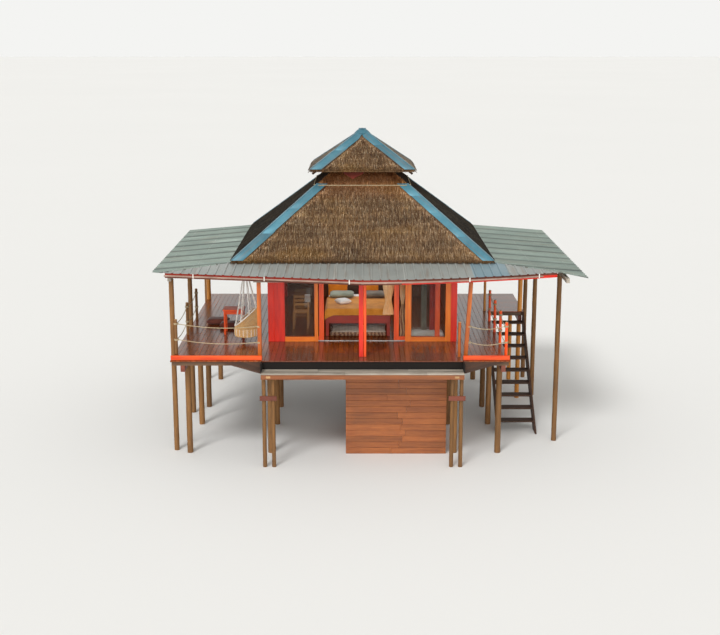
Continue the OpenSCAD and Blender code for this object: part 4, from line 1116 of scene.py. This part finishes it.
class HOUSE_OT_thatch(bpy.types.Operator):
    """Thatch of the big pyramid and of the cap roof, the rope round the neck and a cloth in it"""
    bl_idname = "stilthouse.thatch"
    bl_label = "Thatch"

    def execute(self, context):
        sizes = context.scene.house_sizes
        slopes, flashed = [], 1.1       # the hip flashings end where the roof's half width is 1.1 m
        for i, (side, finish, count) in enumerate((
                ("front", "thatch", 36000), ("back", "thatch", 26000),
                ("left", "shaded_thatch", 22000), ("right", "shaded_thatch", 22000))):
            node = "thatch_" + side
            slopes.append(Slope(islands(node)))
            thatch_mesh(node + "_leaves", slopes[i], finish, count, sizes.strand_length,
                        sizes.strand_width, 90 + i, node, flashed)
        for i, points in enumerate(islands("cap_thatch")):
            slope = Slope([points])
            # The sides of the cap roof get the copy of the thatch with painted shade
            finish = "cap_side_shade_thatch" if abs(slope.out.x) > 0.5 else "thatch"
            thatch_mesh(f"cap_leaves_{i + 1}", slope, finish, 7000, sizes.strand_length * 0.8,
                        sizes.strand_width, 95 + i, "cap_thatch", 0.0)
        half = 1.2                      # half width of the roof where the rope goes round it
        ring = [slope.at(half, k / 10, 0.02 + 0.006 * noise.noise(Vector((k, half * 9, 0))))
                for slope in slopes for k in range(-9, 10)]
        ring.sort(key=lambda p: math.atan2(p.y, p.x))
        solids = Solids(99)
        solids.rope(ring + ring[:1], 0.011, 0.08)
        solids.piece("neck_rope", "hemp_rope", slot="thatch_front")
        front, steps, width, height = slopes[0], 8, 0.5, 0.26

        def place(j, i):
            """The cloth narrows to a tail below its middle."""
            u, v = i / steps, j / steps
            wide = min(1, max(0.08, (1 - v) / 0.55))
            x = -0.48 + 0.52 * u * wide + 0.24 * (1 - wide)
            h = 0.74 + 0.28 * v
            lift = 0.02 + 0.008 * noise.noise(Vector((u * 5, v * 5, 2)))
            return front.at(h, x / h * front.side.x, lift), (u * width, v * height, 0)

        solids = Solids(98)
        solids.cloth(steps, steps, (0, 0, 0.002), place)
        patch = solids.piece("neck_cloth", "claret_cotton", slot="thatch_front", smooth=80)
        return {"FINISHED"}


class HOUSE_OT_flashings(bpy.types.Operator):
    """Blue steel strips bent over the hips, lapped like tiles"""
    bl_idname = "stilthouse.flashings"
    bl_label = "Hip flashings"

    def execute(self, context):
        solids = Solids(101)
        vertices = np.array([tuple(v.co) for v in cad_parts["hip_flashings"].data.vertices])
        flat = np.abs(vertices[:, :2])
        reach = float(flat.max())
        width = reach - float(np.round(flat.min(1)[flat.max(1) > reach - 1e-3], 3).min())
        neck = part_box("cap_thatch")[0].z - 0.2
        for upper in (False, True):
            part = vertices[(vertices[:, 2] > neck) == upper]
            reach = np.abs(part[:, :2]).max(1)
            h0, h1 = float(reach.max()), 0.0 if upper else float(np.round(reach, 3).min())
            z0, z1 = float(part[reach > h0 - 1e-3][:, 2].max()), float(part[:, 2].max())
            for sx, sy in ((-1, -1), (1, -1), (1, 1), (-1, 1)):
                # Strips from the eave up, each bent over the hip and running on under the next
                at, lap = h0, 0.06
                while at > h1 + 0.05:
                    to = at - solids.random.uniform(0.5, 0.8)
                    to = h1 if to < h1 + 0.3 else to
                    rows, grain = [], []
                    ragged = [solids.random.uniform(-0.02, 0.01) for _ in range(2)]
                    lift = solids.random.uniform(0, 0.004)
                    for h in (at, (at + to) / 2, max(to - lap, h1 + 0.01)):
                        z = z0 + (h0 - h) * (z1 - z0) / (h0 - h1) - 0.004 + lift
                        line = []
                        for s in (-1, -0.6, -0.22, -0.1, 0, 0.1, 0.22, 0.6, 1):
                            away = min(width * abs(s) + ragged[s > 0] * (abs(s) == 1), h + 0.1)
                            bend = 0.02 * max(0, 1 - abs(s) / 0.3) ** 2
                            x, y = (h - away, h - bend) if s > 0 else (h - bend, h - away)
                            line.append(Vector((sx * x, sy * y, z)))
                            grain.append((h, s * width, 0))
                        rows.append(line)
                    solids.skin(rows, (0, 0, 0.002), grain=grain)
                    at = to
        # The folded cone over the peak
        peak, sides = float(vertices[:, 2].max()), 16
        cone = [Vector((0, 0, peak - 0.004))]
        for ring, drop in ((0.06, 0.008), (0.12, 0.04), (0.17, 0.08), (0.21, 0.125)):
            cone += circle(sides, ring, (0, 0, peak - drop - 0.012))[:-1]
        faces = [[0, 1 + k, 1 + (k + 1) % sides] for k in range(sides)]
        walls = ring_faces(4, sides)
        faces += [[1 + i for i in face] for face in walls[:-2] + walls[-1:]]
        solids.add(cone, faces)
        solids.piece("hip_strips", "blue_steel", "hip_flashings", smooth=60)
        return {"FINISHED"}


class HOUSE_OT_gutter(bpy.types.Operator):
    """Sleeves over the gutter's joints and the straps that hold it"""
    bl_idname = "stilthouse.gutter"
    bl_label = "Gutter"

    def execute(self, context):
        solids = Solids(111)
        low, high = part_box("gutter")
        radius, rim = high.z - low.z, high.z
        lines = [ends(p) for p in sorted(islands("gutter"), key=lambda g: g[:, 0].mean())]
        for (p0, q0, _), (p1, q1, _) in zip(lines, lines[1:]):
            middle = (q0 + p1) / 2
            middle.z = rim
            along = (q1 - p0).normalized()
            along.z = 0
            across = UP.cross(along)
            rows = [[middle + along * step + (across * math.cos(a) - UP * math.sin(a)) * (radius + 0.003)
                     for a in (math.pi * k / 12 for k in range(13))] for step in (-0.035, 0.035)]
            solids.skin(rows, (0, 0, 0.002))
        # Painted straps from the gutter's front up to the roof, unevenly apart
        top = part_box("front_metal_roof")[0].z
        for x in (-3.9, -2.24, -0.3, 2.43, 4.07):
            p, q = next((p, q) for p, q, _ in lines if p.x <= x <= q.x + 0.02)
            y = p.y + (q.y - p.y) * (x - p.x) / (q.x - p.x) - radius
            solids.board((x - 0.012, y - 0.006, rim - 0.045), (x + 0.012, y - 0.002, top + 0.01), slot=1)
        solids.piece("gutter_fittings", "aged_pvc white_paint", slot="gutter")
        dress("gutter", "aged_pvc")
        return {"FINISHED"}


# ---------------------------------------------------------------- railing and stair

class HOUSE_OT_railing(bpy.types.Operator):
    """Short posts and the laid ropes between them"""
    bl_idname = "stilthouse.railing"
    bl_label = "Railing"

    def execute(self, context):
        solids = Solids(121)
        for points in islands("railing_posts"):
            p, q, radius = ends(points)
            shoulder = q - UP * 0.012       # the sawn top is rounded over, down to here
            # Varnished beside the middle, painted at the right and bare at the left
            solids.pole(p, shoulder, radius, slot=2 if 0 < p.x < 3 else 0 if p.x > 0 else 1)
            solids.tube([shoulder, q - UP * 0.005, q], [radius * 0.96, radius * 0.9, radius * 0.6],
                        14, slot=3)
        solids.piece("railing_timber", "orange_paint peeled_pole orange_varnish pale_wood",
                     "railing_posts")
        solids = Solids(122)
        radius, steps = 0.011, 24
        for points in islands("railing_ropes"):
            low, high = corners(points)
            axis = 0 if high.x - low.x > high.y - low.y else 1
            p = Vector(points[points[:, axis] < low[axis] + 0.02].mean(0))
            q = Vector(points[points[:, axis] > high[axis] - 0.02].mean(0))
            sag = (p.z + q.z) / 2 - (low.z + radius)
            solids.rope([p.lerp(q, i / steps) - UP * sag * 4 * (i / steps) * (1 - i / steps)
                         for i in range(steps + 1)], radius, 0.1)
            # Two turns round the post at each end
            for end, lift in product((p, q), (-radius, radius)):
                post = end + (end - (p + q) / 2).normalized() * 0.03 + UP * lift
                solids.tube(circle(12, 0.043, post), 0.009, 6)
        solids.piece("twisted_ropes", "hemp_rope", "railing_ropes")
        return {"FINISHED"}


class HOUSE_OT_stair(bpy.types.Operator):
    """Side boards and treads of the stair"""
    bl_idname = "stilthouse.stair"
    bl_label = "Stair"

    def execute(self, context):
        rebuild("stair_treads", "old_board", 131)
        solids = Solids(132)
        for points in islands("stair_sides"):
            low, high = corners(points)
            face = [Vector(p) for p in points if abs(p[0] - low.x) < 1e-4]
            middle = sum(face, Vector()) / len(face)
            face.sort(key=lambda p: math.atan2(p.z - middle.z, p.y - middle.y))
            # Its grain runs down the slope of the stair
            solids.plate(face, (high.x - low.x, 0, 0), along=(0, -0.77, -0.64))
        solids.piece("stair_side_boards", "old_board", "stair_sides")
        return {"FINISHED"}


# ---------------------------------------------------------------- furniture and cloth

def cushion(solids, low, high, crown, slot=0, cells=10, flat=2, turn=0.0):
    """A stuffed pad between two corners, thin along the flat axis: crowned faces, sides that pull
    in between the corners, and a back that stays flatter than its front."""
    low, high = Vector(low), Vector(high)
    size, middle = high - low, (low + high) / 2
    wide, long = [axis for axis in range(3) if axis != flat]
    spin = Matrix.Rotation(turn, 3, "Z")
    points, grain = [], []
    for face, i, j in product((1, -1), range(cells + 1), range(cells + 1)):
        u, v = 2 * i / cells - 1, 2 * j / cells - 1
        edge = max(0, (1 - abs(u) ** 6) * (1 - abs(v) ** 6))
        bulge = 0.18 + 0.82 * edge ** (0.35 if face > 0 else 0.2)
        across = u * size[wide] / 2 * (1 - 0.035 * (1 - v * v) * (abs(u) == 1))
        along = v * size[long] / 2 * (1 - 0.035 * (1 - u * u) * (abs(v) == 1))
        wrinkle = crown * 0.4 * noise.noise(Vector((across * 6, along * 6, face + size.x)))
        place = Vector((0, 0, 0))
        place[wide], place[long] = across, along
        place[flat] = face * (size[flat] / 2 * bulge - abs(wrinkle) * edge)
        points.append(middle + spin @ place)
        grain.append((across, along, 0))
    solids.add(points, sheet_faces(cells + 1, cells + 1), grain, slot)


def soften(piece):
    """Rounds a cloth piece with one subdivision that is applied to its mesh."""
    modifier = piece.modifiers.new("soft", "SUBSURF")
    modifier.levels = modifier.render_levels = 1
    graph = bpy.context.evaluated_depsgraph_get()
    mesh = bpy.data.meshes.new_from_object(piece.evaluated_get(graph), depsgraph=graph)
    piece.modifiers.clear()
    piece.data = mesh
    return piece


def padded(name, finish, node, seed, fill, boxes, crown, body="house", **settings):
    """A soft piece of one or more cushions, each between two corners."""
    solids = Solids(seed)
    for low, high in boxes:
        cushion(solids, low, high, crown, **settings)
    soften(solids.piece(name, finish, node, body))


def hanging_cloth(name, x0, x1, y, top, bottom, folds, depth, finish, node, pinch, waist):
    """A gathered curtain with folds that open towards its hem."""
    solids = Solids(sum(ord(letter) * (i + 1) for i, letter in enumerate(name)))
    columns, rows, fullness = folds * 8, 18, 1.5
    phase = solids.random.uniform(0, 6)

    def place(j, i):
        u, v = i / columns, j / rows
        narrow = 1 - pinch * math.exp(-((v - waist) / 0.16) ** 2)
        wave = math.sin(math.tau * folds * u + phase + 0.5 * math.sin(3 * v + phase))
        sway = 0.3 * noise.noise(Vector((u * 4 + phase, v * 2, 1.5)))
        point = Vector(((x0 + x1) / 2 + (x1 - x0) * (u - 0.5) * narrow,
                        y + depth * (wave + sway) * (0.55 + 0.45 * v) * narrow,
                        top + (bottom - top) * v))
        return point, (u * (x1 - x0) * fullness, v * (top - bottom), 0)

    solids.cloth(rows, columns, (0, 0.0012, 0), place)
    piece = solids.piece(name, finish, node, slot="curtains", smooth=80)


class HOUSE_OT_curtains(bpy.types.Operator):
    """Gathered cloths inside the front wall"""
    bl_idname = "stilthouse.curtains"
    bl_label = "Curtains"

    def execute(self, context):
        boxes = sorted((corners(p) for p in islands("curtains")), key=lambda box: box[0].x)
        plans = (("cream", 3, 0.45, 0.64), ("grey", 2, 0.0, 0.25), ("red", 2, 0.0, 0.25))
        for (name, folds, pinch, hem), (low, high) in zip(plans, boxes):
            hanging_cloth(name + "_curtain", low.x, high.x, (low.y + high.y) / 2, high.z,
                          max(low.z, deck_z + hem), folds, 0.014, name + "_cotton", "curtains",
                          pinch, 0.73)
        # One more is tied at its middle, beside the right leaf
        low, high = boxes[0]
        left, right, tie = 0.91, 1.05, deck_z + 0.9
        for name, top, bottom, finish, waist in (("tied_curtain", high.z, tie, "cream_cotton", 1.0),
                                                 ("curtain_tail", tie, low.z, "patterned_mat", 0.0)):
            hanging_cloth(name, left, right, (low.y + high.y) / 2, top, bottom, 2, 0.012, finish,
                          None, 0.5, waist)
        return {"FINISHED"}


class HOUSE_OT_bed(bpy.types.Operator):
    """The bed with its mattress, spread, pillows and the mat stored under it"""
    bl_idname = "stilthouse.bed"
    bl_label = "Bed"

    def execute(self, context):
        x0, *_, x1 = levels("bed_frame", 0)
        y0, *_, y1, y2 = levels("bed_frame", 1)
        foot, rail, top, head = levels("bed_frame", 2)
        solids, board, leg = Solids(141), 0.035, 0.08
        solids.board((x0, y0, rail), (x1, y0 + board, top), worn=EASED)
        for x in (x0, x1 - board):
            solids.board((x, y0 + board, rail), (x + board, y1, top), worn=EASED)
        # Slats under the mattress
        for y in np.linspace(y0 + 0.1, y1 - 0.15, 9):
            solids.board((x0 + board, y, top - 0.03), (x1 - board, y + 0.08, top - 0.005))
        for x, y in product((x0 + 0.01, x1 - 0.01 - leg), (y0 + 0.02, y1 - leg)):
            solids.board((x, y, foot), (x + leg, y + leg, rail), worn=EASED)
        # The headboard and its top rail
        solids.board((x0, y2 - 0.025, rail), (x1, y2, head - 0.05), slot=1, worn=EASED)
        solids.board((x0, y2 - 0.04, head - 0.05), (x1, y2, head), worn=EASED)
        solids.piece("bed_timber", "red_stain old_board", "bed_frame")
        padded("headboard_pads", "ochre_cotton", "bed_frame", 140, 0.8,
               [((x, y1 - 0.03, top - 0.02), (x + 0.52, y2 - 0.03, head - 0.06))
                for x in (x0 + 0.02, x0 + 0.84)], 0.02, flat=1, cells=12)
        low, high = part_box("bedding")
        sides, depths, heights = (levels("bedding", axis) for axis in range(3))
        high.z = heights[1]
        padded("mattress", "white_cotton", "bedding", 142, 0.9, [(low, high - UP * 0.004)], 0.01,
               cells=14)
        for i, (left, right) in enumerate((sides[1:3], sides[3:5])):
            padded(f"pillow_{i + 1}", ("green_cotton", "grey_cotton")[i], "bedding", 143 + i, 0.7,
                   [((left - 0.02, depths[1] - 0.4, heights[1]),
                     (right, depths[2] - 0.28, heights[2] + 0.02))], 0.075)
        half = 0.17
        spot = Vector(((sides[1] + sides[2]) / 2 + 0.03, high.y - 1.38, high.z + 0.004))
        padded("white_cushion", "white_cotton", "bedding", 145, 0.8,
               [(spot - Vector((half, half, 0)), spot + Vector((half, half, 0.12)))], 0.02,
               turn=math.radians(28))
        rows, columns, side_drop, front_drop, corner_drop = 26, 34, 0.15, 0.085, 0.07

        def place(j, i):
            """The spread hangs over both sides and, two rows deep, over the foot of the bed."""
            x = low.x - 0.04 + (high.x - low.x + 0.08) * min(1, max(0, (i - 1) / (columns - 2)))
            y = low.y - 0.06 + (high.y - low.y - 0.47) * max(0, j - 2) / (rows - 2)
            drop = side_drop * (max(0, 1 - i / 1.5) + max(0, 1 - (columns - i) / 1.5))
            drop = max(drop, front_drop * (2 - j) if j < 2 else 0)
            drop += corner_drop * max(0, 2 - j) * max(0, 1 - i / 5)
            ripple = 0.008 * noise.noise(Vector((x * 4, y * 4, 3)))
            hang = 0.012 * noise.noise(Vector((x * 7, j, i))) * (drop > 0)
            point = Vector((x + hang, y + hang - 0.004 * (2 - min(j, 2)),
                            high.z + 0.003 + ripple - drop))
            return point, (x, y + drop, 0)

        solids = Solids(146)
        solids.cloth(rows, columns, (0, 0, 0.003), place)
        spread = soften(solids.piece("bed_spread", "yellow_cotton", "bedding", smooth=80))
        low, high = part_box("under_bed_mat")
        solids, layers = Solids(147), 3
        layer = (high.z - low.z) / layers
        for i in range(layers):
            z = low.z + layer * i
            shift = 0.05 * (i == layers - 1)
            cushion(solids, (low.x + shift, low.y, z), (high.x, high.y, z + layer), 0.01, i // 2, 12)
        solids.piece("stored_mat", "patterned_mat lace_cotton", "under_bed_mat")
        return {"FINISHED"}


class HOUSE_OT_furniture(bpy.types.Operator):
    """The chair, the veranda table, the floor cushion and the bolster"""
    bl_idname = "stilthouse.furniture"
    bl_label = "Furniture"

    def execute(self, context):
        solids = Solids(151)
        x0, x1, x2, x3 = levels("inner_chair", 0)
        y0, y1, y2, *_, y3 = levels("inner_chair", 1)
        foot, seat, seat_top, *rails, head = levels("inner_chair", 2)
        for left, right in ((x0, x1), (x2, x3)):
            solids.board((left, y0, foot), (right, y1, seat), worn=EASED)
            solids.board((left, y2, foot), (right, y3, head), worn=EASED)
            solids.board((left + 0.01, y1, seat - 0.12), (right - 0.01, y2, seat - 0.08))
        solids.board((x0, y0, seat), (x3, y2 - 0.001, seat_top), worn=0.008)
        for low, high in zip(rails[::2], rails[1::2]):
            solids.board((x1, y2 + 0.01, low), (x2, y3 - 0.01, high))
        solids.piece("chair_timber", "varnished_pine", "inner_chair")
        rows, columns, middle, wide, long, crest = 18, 8, (y2 + y3) / 2, 0.14, 0.36, 0.45

        def place(j, i):
            """The cloth goes over the top rail at the crest, a share of its length."""
            u, v = i / columns, j / rows
            side = min(1, abs(v - crest) / 0.03) * (1 if v > crest else -1)
            fold = 0.012 * math.sin(9 * u + 3 * v)
            point = Vector((x2 - 0.08 + wide * u + 0.02 * v, middle - side * (0.028 + abs(fold)),
                            head + 0.012 - abs(v - crest) * long))
            return point, (u * wide, v * long, 0)

        solids = Solids(156)
        solids.cloth(rows, columns, (0, 0.001, 0.0004), place)
        cloth = solids.piece("chair_cloth", "white_cotton", "inner_chair", smooth=80)
        solids = Solids(152)
        (x0, x1, x2, x3), (y0, y1, y2, y3) = (
            [levels("veranda_table", axis)[i] for i in (1, 2, -3, -2)] for axis in (0, 1))
        foot, under, top = levels("veranda_table", 2)
        for (left, right), (near, far) in product(((x0, x1), (x2, x3)), ((y0, y1), (y2, y3))):
            solids.board((left, near, foot), (right, far, under), worn=0.005)
        for near, far in ((y0 + 0.01, y0 + 0.03), (y3 - 0.03, y3 - 0.01)):
            solids.board((x1, near, under - 0.09), (x2, far, under))
        for left, right in ((x0 + 0.01, x0 + 0.03), (x3 - 0.03, x3 - 0.01)):
            solids.board((left, y1, under - 0.09), (right, y2, under))
        low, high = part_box("veranda_table")
        width = (high.y - low.y) / 4
        for i in range(4):
            near = low.y + width * i
            solids.board((low.x, near + 0.002, under), (high.x, near + width - 0.002, top))
        solids.piece("table_timber", "orange_paint", "veranda_table")
        solids = Solids(153)
        foot = Vector((high.x - 0.1, low.y + 0.12, high.z))
        # Height and radius of each ring, up the outside and down the inside
        rings = ((0.0, 0.024), (0.004, 0.026), (0.03, 0.036), (0.062, 0.04), (0.066, 0.041),
                 (0.062, 0.037), (0.03, 0.032), (0.01, 0.022))
        solids.add([p for z, r in rings for p in circle(20, r, foot + UP * z)[:-1]],
                   ring_faces(len(rings), 20))
        solids.piece("cup", "glazed_china", slot="veranda_table")
        low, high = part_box("floor_cushion")
        split = (low + high) / 2
        padded("floor_pads", "pink_cotton", "floor_cushion", 154, 0.8,
               [((low.x, split.y + 0.02, low.z), (split.x + 0.14, high.y, high.z)),
                ((split.x - 0.06, low.y, low.z), (high.x, split.y - 0.02, high.z))], 0.04, cells=12)
        padded("bolster_pad", "white_cotton", "window_bolster", 155, 0.6, [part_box("window_bolster")],
               0.08, cells=14)
        return {"FINISHED"}


class HOUSE_OT_hanging_chair(bpy.types.Operator):
    """The knotted basket, its hoop, pad and ropes"""
    bl_idname = "stilthouse.hanging_chair"
    bl_label = "Hanging chair"

    def execute(self, context):
        body = "swinging_chair"
        points = islands("hanging_chair")[0]
        low, high = corners(points)
        middle = (low + high) / 2
        radius = (high.x - low.x) / 2 - 0.011
        rim_left = float(points[points[:, 0] < low.x + 0.01][:, 2].max())
        rim_right = float(points[points[:, 0] > high.x - 0.01][:, 2].max())

        def around(a, z, grow=0.0):
            """A point on the basket's side at angle a, or outside it by grow."""
            return Vector((middle.x + (radius + grow) * math.cos(a),
                           middle.y + (radius + grow) * math.sin(a), z))

        def rim(a, below):
            """The height of the sloping rim at angle a, less below."""
            t = (around(a, 0).x - low.x) / (high.x - low.x)
            return rim_left + (rim_right - rim_left) * t - below

        solids = Solids(161)
        turns = [math.tau * k / 48 for k in range(49)]
        solids.tube([around(a, rim(a, 0.012)) for a in turns], 0.015, 8, slot=1)
        for level in (0.03, 0.10, 0.18):
            solids.rope([around(a, low.z + level) for a in turns], 0.009, 0.05)
        # Cords that cross over each other up the side
        cords = 56
        for k, lean in product(range(cords), (-1, 1)):
            path = []
            for i in range(13):
                v = i / 12
                a = math.tau * k / cords + lean * 0.16 * math.sin(v * math.pi * 3)
                z = low.z + 0.02
                path.append(around(a, z + (rim(a, 0.012) - z) * v, 0.002 * lean))
            solids.tube(path, 0.006, 5)
        # The fringe hangs from below the rim; every fifth tassel is white
        tassels, top = 90, low.z + 0.2
        for k in range(tassels):
            a = math.tau * k / tassels + solids.random.uniform(-0.02, 0.02)
            long = solids.random.uniform(0.15, 0.19)
            solids.tube([around(a, top, 0.004), around(a, low.z + 0.12, 0.011),
                         around(a, top - long, 0.006)], 0.007, 5, slot=int(k % 5 == 0))
        # Rings and spokes of the bottom
        centre = Vector((middle.x, middle.y, low.z + 0.012))
        for r in (0.06, 0.12, 0.18, 0.24):
            solids.tube(circle(48, r, centre), 0.008, 6)
        for k, p in enumerate(circle(16, 0.02, centre)[:-1]):
            solids.tube([p, around(math.tau * k / 16, low.z + 0.02)], 0.006, 5)
        solids.piece("knotted_basket", "cotton_cord white_cord", "hanging_chair", body)
        pad = (radius - 0.06) * 0.8
        padded("seat_pad", "white_cotton", "hanging_chair", 162, 0.7,
               [(centre + Vector((-pad, -pad, 0.018)), centre + Vector((pad, pad, 0.118)))], 0.02, body)
        # Ropes from the knot to the rim, each with three turns round its foot
        solids, ropes = Solids(163), 8
        knot = Vector((middle.x, middle.y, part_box("chair_ropes")[1].z - 0.03))
        for k in range(ropes):
            a = math.tau * (k + 0.5) / ropes
            foot = around(a, rim(a, 0.004))
            solids.rope([knot.lerp(foot, i / 14) for i in range(15)], 0.014, 0.09)
            for i in range(3):
                solids.tube(circle(10, 0.015, foot + UP * (0.004 + 0.018 * i)), 0.007, 6)
        # The whipping that binds them into the knot
        for k in range(11):
            solids.tube(circle(16, 0.026, knot + UP * (0.012 - 0.016 * k)), 0.009, 6, slot=1)
        solids.piece("chair_cords", "white_cord cotton_cord", "chair_ropes", body)
        dress("chair_hook", "galvanised_steel")
        return {"FINISHED"}


# ---------------------------------------------------------------- stage

def lamp(name, kind, energy, turn=(0, 0, 0), place=(0, 0, 0), **settings):
    """Adds a light, with its turn in degrees."""
    light = bpy.data.lights.new(name, kind)
    light.energy = energy
    for setting, value in settings.items():
        setattr(light, setting, value)
    item = bpy.data.objects.new(name, light)
    item.location = place
    item.rotation_euler = [math.radians(angle) for angle in turn]
    bpy.context.scene.collection.objects.link(item)
    return item


class HOUSE_OT_stage(bpy.types.Operator):
    """Pale floor, soft light and the camera at the photograph's angle"""
    bl_idname = "stilthouse.stage"
    bl_label = "Stage"

    def execute(self, context):
        scene = context.scene
        scene.view_settings.view_transform = "Standard"
        camera = bpy.data.cameras.new("photo_camera")
        camera.lens, camera.sensor_width = 59, 36
        eye = bpy.data.objects.new("photo_camera", camera)
        tilt = 13.05            # degrees downwards, from the photograph's horizon and depth lines
        eye.location = (-0.06, -30.7, 9.595)
        eye.rotation_euler = (math.radians(90 - tilt), 0, 0)
        scene.collection.objects.link(eye)
        scene.camera = eye
        # A plain level of light, at which a colour renders about as it is written
        lamp("soft_sun", "SUN", 1.7, (44, -8, -16), angle=math.radians(18))
        lamp("low_fill", "SUN", 1.5, (80, 0, 6), angle=math.radians(40))
        inside = lamp("room_fill", "AREA", 42, place=(0, -0.4, deck_z + 2.0), size=3.4)
        inside.visible_camera = inside.visible_glossy = inside.visible_transmission = False
        # Rays that see the world find it white; the light it gives is softer
        world = bpy.data.worlds.new("studio")
        scene.world = world
        world.use_nodes = True
        tree = world.node_tree
        sky = next(n for n in tree.nodes if n.type == "BACKGROUND")
        path = add(tree, "LightPath")
        seen = add(tree, "Math", {0: path.outputs["Is Camera Ray"], 1: path.outputs["Is Glossy Ray"]},
                   operation="MAXIMUM")
        seen = add(tree, "Math", {0: seen, 1: path.outputs["Is Transmission Ray"]}, operation="MAXIMUM")
        level = add(tree, "MapRange", {0: seen, 3: 0.65, 4: 1.0})
        sky.inputs["Color"].default_value = linear("#f4f4f2")
        tree.links.new(level.outputs[0], sky.inputs["Strength"])
        mesh = bpy.data.meshes.new("floor")
        half = 900
        mesh.from_pydata([(x, y, -0.002) for x, y in ((-half, -half), (half, -half), (half, half),
                                                      (-half, half))], [], [(0, 1, 2, 3)])
        # Painted plaster: even and matt
        mesh.materials.append(patchy("matt_floor", "#e8e7e4", "#eae9e6", 0.02, {"Roughness": 0.9}))
        floor = bpy.data.objects.new("floor", mesh)
        scene.collection.objects.link(floor)
        return {"FINISHED"}


OPERATORS = (HOUSE_OT_stage, HOUSE_OT_legs, HOUSE_OT_underfloor, HOUSE_OT_deck, HOUSE_OT_skirts,
             HOUSE_OT_lower_room, HOUSE_OT_posts, HOUSE_OT_room, HOUSE_OT_roof_timber,
             HOUSE_OT_metal_roofs, HOUSE_OT_thatch, HOUSE_OT_flashings, HOUSE_OT_gutter,
             HOUSE_OT_railing, HOUSE_OT_stair, HOUSE_OT_bed, HOUSE_OT_furniture, HOUSE_OT_curtains,
             HOUSE_OT_hanging_chair)


class HOUSE_PT_panel(bpy.types.Panel):
    """Lists the sizes, the colours and the pieces of the house"""
    bl_idname = "HOUSE_PT_panel"
    bl_label = "Stilt house"
    bl_space_type = "VIEW_3D"
    bl_region_type = "UI"
    bl_category = "Stilt house"

    def draw(self, context):
        for group in (context.scene.house_sizes, context.scene.house_colours):
            for name in group.bl_rna.properties.keys():
                if name not in ("rna_type", "name"):
                    self.layout.prop(group, name)
        for operator in OPERATORS:
            self.layout.operator(operator.bl_idname)


CLASSES = (HouseSizes, HouseColours, *OPERATORS, HOUSE_PT_panel)


def register():
    for item in CLASSES:
        bpy.utils.register_class(item)
    bpy.types.Scene.house_sizes = bpy.props.PointerProperty(type=HouseSizes)
    bpy.types.Scene.house_colours = bpy.props.PointerProperty(type=HouseColours)


def unregister():
    del bpy.types.Scene.house_colours
    del bpy.types.Scene.house_sizes
    for item in reversed(CLASSES):
        bpy.utils.unregister_class(item)


def main():
    """Builds the whole house."""
    register()
    materials.update(house_materials())
    for operator in OPERATORS:
        group, name = operator.bl_idname.split(".")
        if getattr(getattr(bpy.ops, group), name)() != {"FINISHED"}:
            raise RuntimeError(operator.bl_label + " could not be built")


if __name__ == "__main__":
    main()
